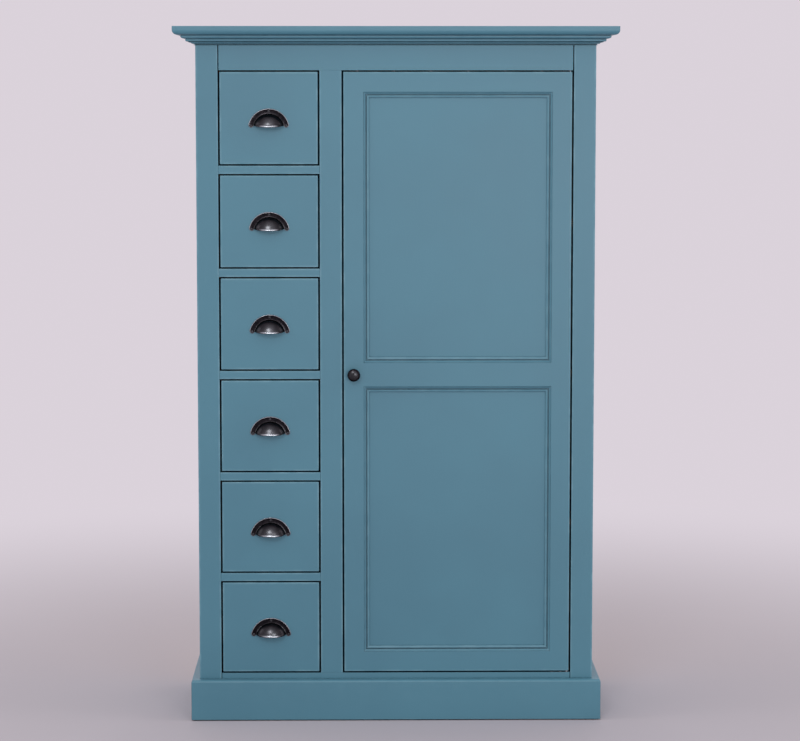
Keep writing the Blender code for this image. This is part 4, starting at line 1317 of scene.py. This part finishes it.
def pullDome(centre):
    # A quarter of an ellipsoid, in upright slices. At x the slice's radius is r = sqrt(R^2 - x^2),
    # and at s down the curve z = r cos s and y = -D r sin s / R. s ends on the sloping lip, where
    # z = back - fall r sin s / R. Each ring runs down outside, round the lip and up inside
    look = pullLook
    wall, depth = look["wall"], look["depth"]
    radius = look["outer"] - look["flange"] + wall / 2
    lipBack = look["lipBack"] + wall / 2
    fall = look["lipBack"] - look["lipFront"]
    least = lipBack / math.hypot(1, fall / radius)
    reach = math.sqrt(radius**2 - least**2) * look["reach"]
    across = reach * np.sin(np.radians(np.linspace(-90, 90, 73)))[:, None]
    bow = np.sqrt(radius**2 - across**2)
    forward = fall * bow / radius
    last = np.arctan2(forward, bow) + np.arccos(np.clip(lipBack / np.hypot(bow, forward), -1, 1))
    s = last * np.linspace(0, 1, 33)[None] ** look["bunched"]
    full, fade = look["lipWear"]
    taper = 1 - np.clip((np.abs(across) - full) / fade, 0, 1)
    taper = taper * taper * (3 - 2 * taper)
    fromWall = depth * bow / radius * np.sin(s)
    footHigh, footOff, footWide = look["footBead"]
    grown = bow / look["growOver"]
    foot = np.exp(-(((fromWall - footOff) / footWide) ** 2))
    lip = np.exp(-(((last - s) * bow / look["lipBand"]) ** 6))
    swell = footHigh * foot + look["lipBead"] * lip * np.clip(grown - look["beadStart"], 0, 1)
    skin = np.stack([across + 0 * s, -fromWall, bow * np.cos(s)], -1)
    normal = unit(skin / np.array((radius**2, depth**2, radius**2)))
    outer = skin + normal * swell[..., None]
    thickness = wall * np.clip(grown - look["wallStart"], look["wallLeast"], 1)
    inner = skin - normal * thickness[..., None]
    # the lip's edge: a half circle from the outer skin to the inner one
    middle = (outer[:, -1] + inner[:, -1]) / 2
    half = (outer[:, -1] - inner[:, -1]) / 2
    ahead = unit(outer[:, -1] - outer[:, -2]) * np.linalg.norm(half, axis=1)[:, None]
    turn = np.radians(np.linspace(90, -90, 8))[1:-1]
    cap = half[:, None] * np.sin(turn)[None, :, None] + ahead[:, None] * np.cos(turn)[None, :, None]
    rings = np.concatenate([outer, cap + middle[:, None], inner[:, ::-1]], 1)
    rings[:, :, 1] = np.minimum(rings[:, :, 1], -look["offFace"])
    # fingers rub the middle of the dome, down towards the lip
    start, grow = look["handledDown"]
    handled = np.exp(-((across / look["handledHalf"]) ** 2)) * np.clip((s / last - start) / grow, 0, 1)
    outside = np.maximum(np.maximum(foot * look["footWear"], lip * taper), look["handled"] * handled)
    worn = np.concatenate([outside, taper * np.linspace(look["lipInside"], 0.0, 6), 0 * lip], 1)
    return skinOf(rings + centre, worn, y)


def buildPulls():
    middle = pullLook["outer"] - pullLook["flange"] / 2
    ends = pullLook["endAngle"] - pullLook["screwLow"]
    lift = pullLook["screwSunk"] - pullLook["thick"]
    for number in range(1, drawerCount + 1):
        node, body = f"drawer_pull_{number}", f"drawer_{number}"
        low, high = boxOf(node)
        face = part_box(f"drawer_front_{number}")[0].y
        centre = np.array(((low[x] + high[x]) / 2, face, high[z] - pullLook["outer"]))
        makePiece(f"cup_pull_{number}", [pullFlange(centre), pullDome(centre)], "bronze", node, body)
        heads = []
        for angle in np.radians((ends, 90, 180 - ends)):
            spot = centre + (middle * math.cos(angle), lift, middle * math.sin(angle))
            turn = chance.uniform(0, math.pi)
            heads += slottedHead(spot, (0, -1, 0), *pullLook["screw"], 1, turn, pullLook["screwWear"])
        makePiece(f"pull_{number}_screws", heads, "bronze", body=body)


buildDrawers()
buildPulls()
print("drawers and pulls")
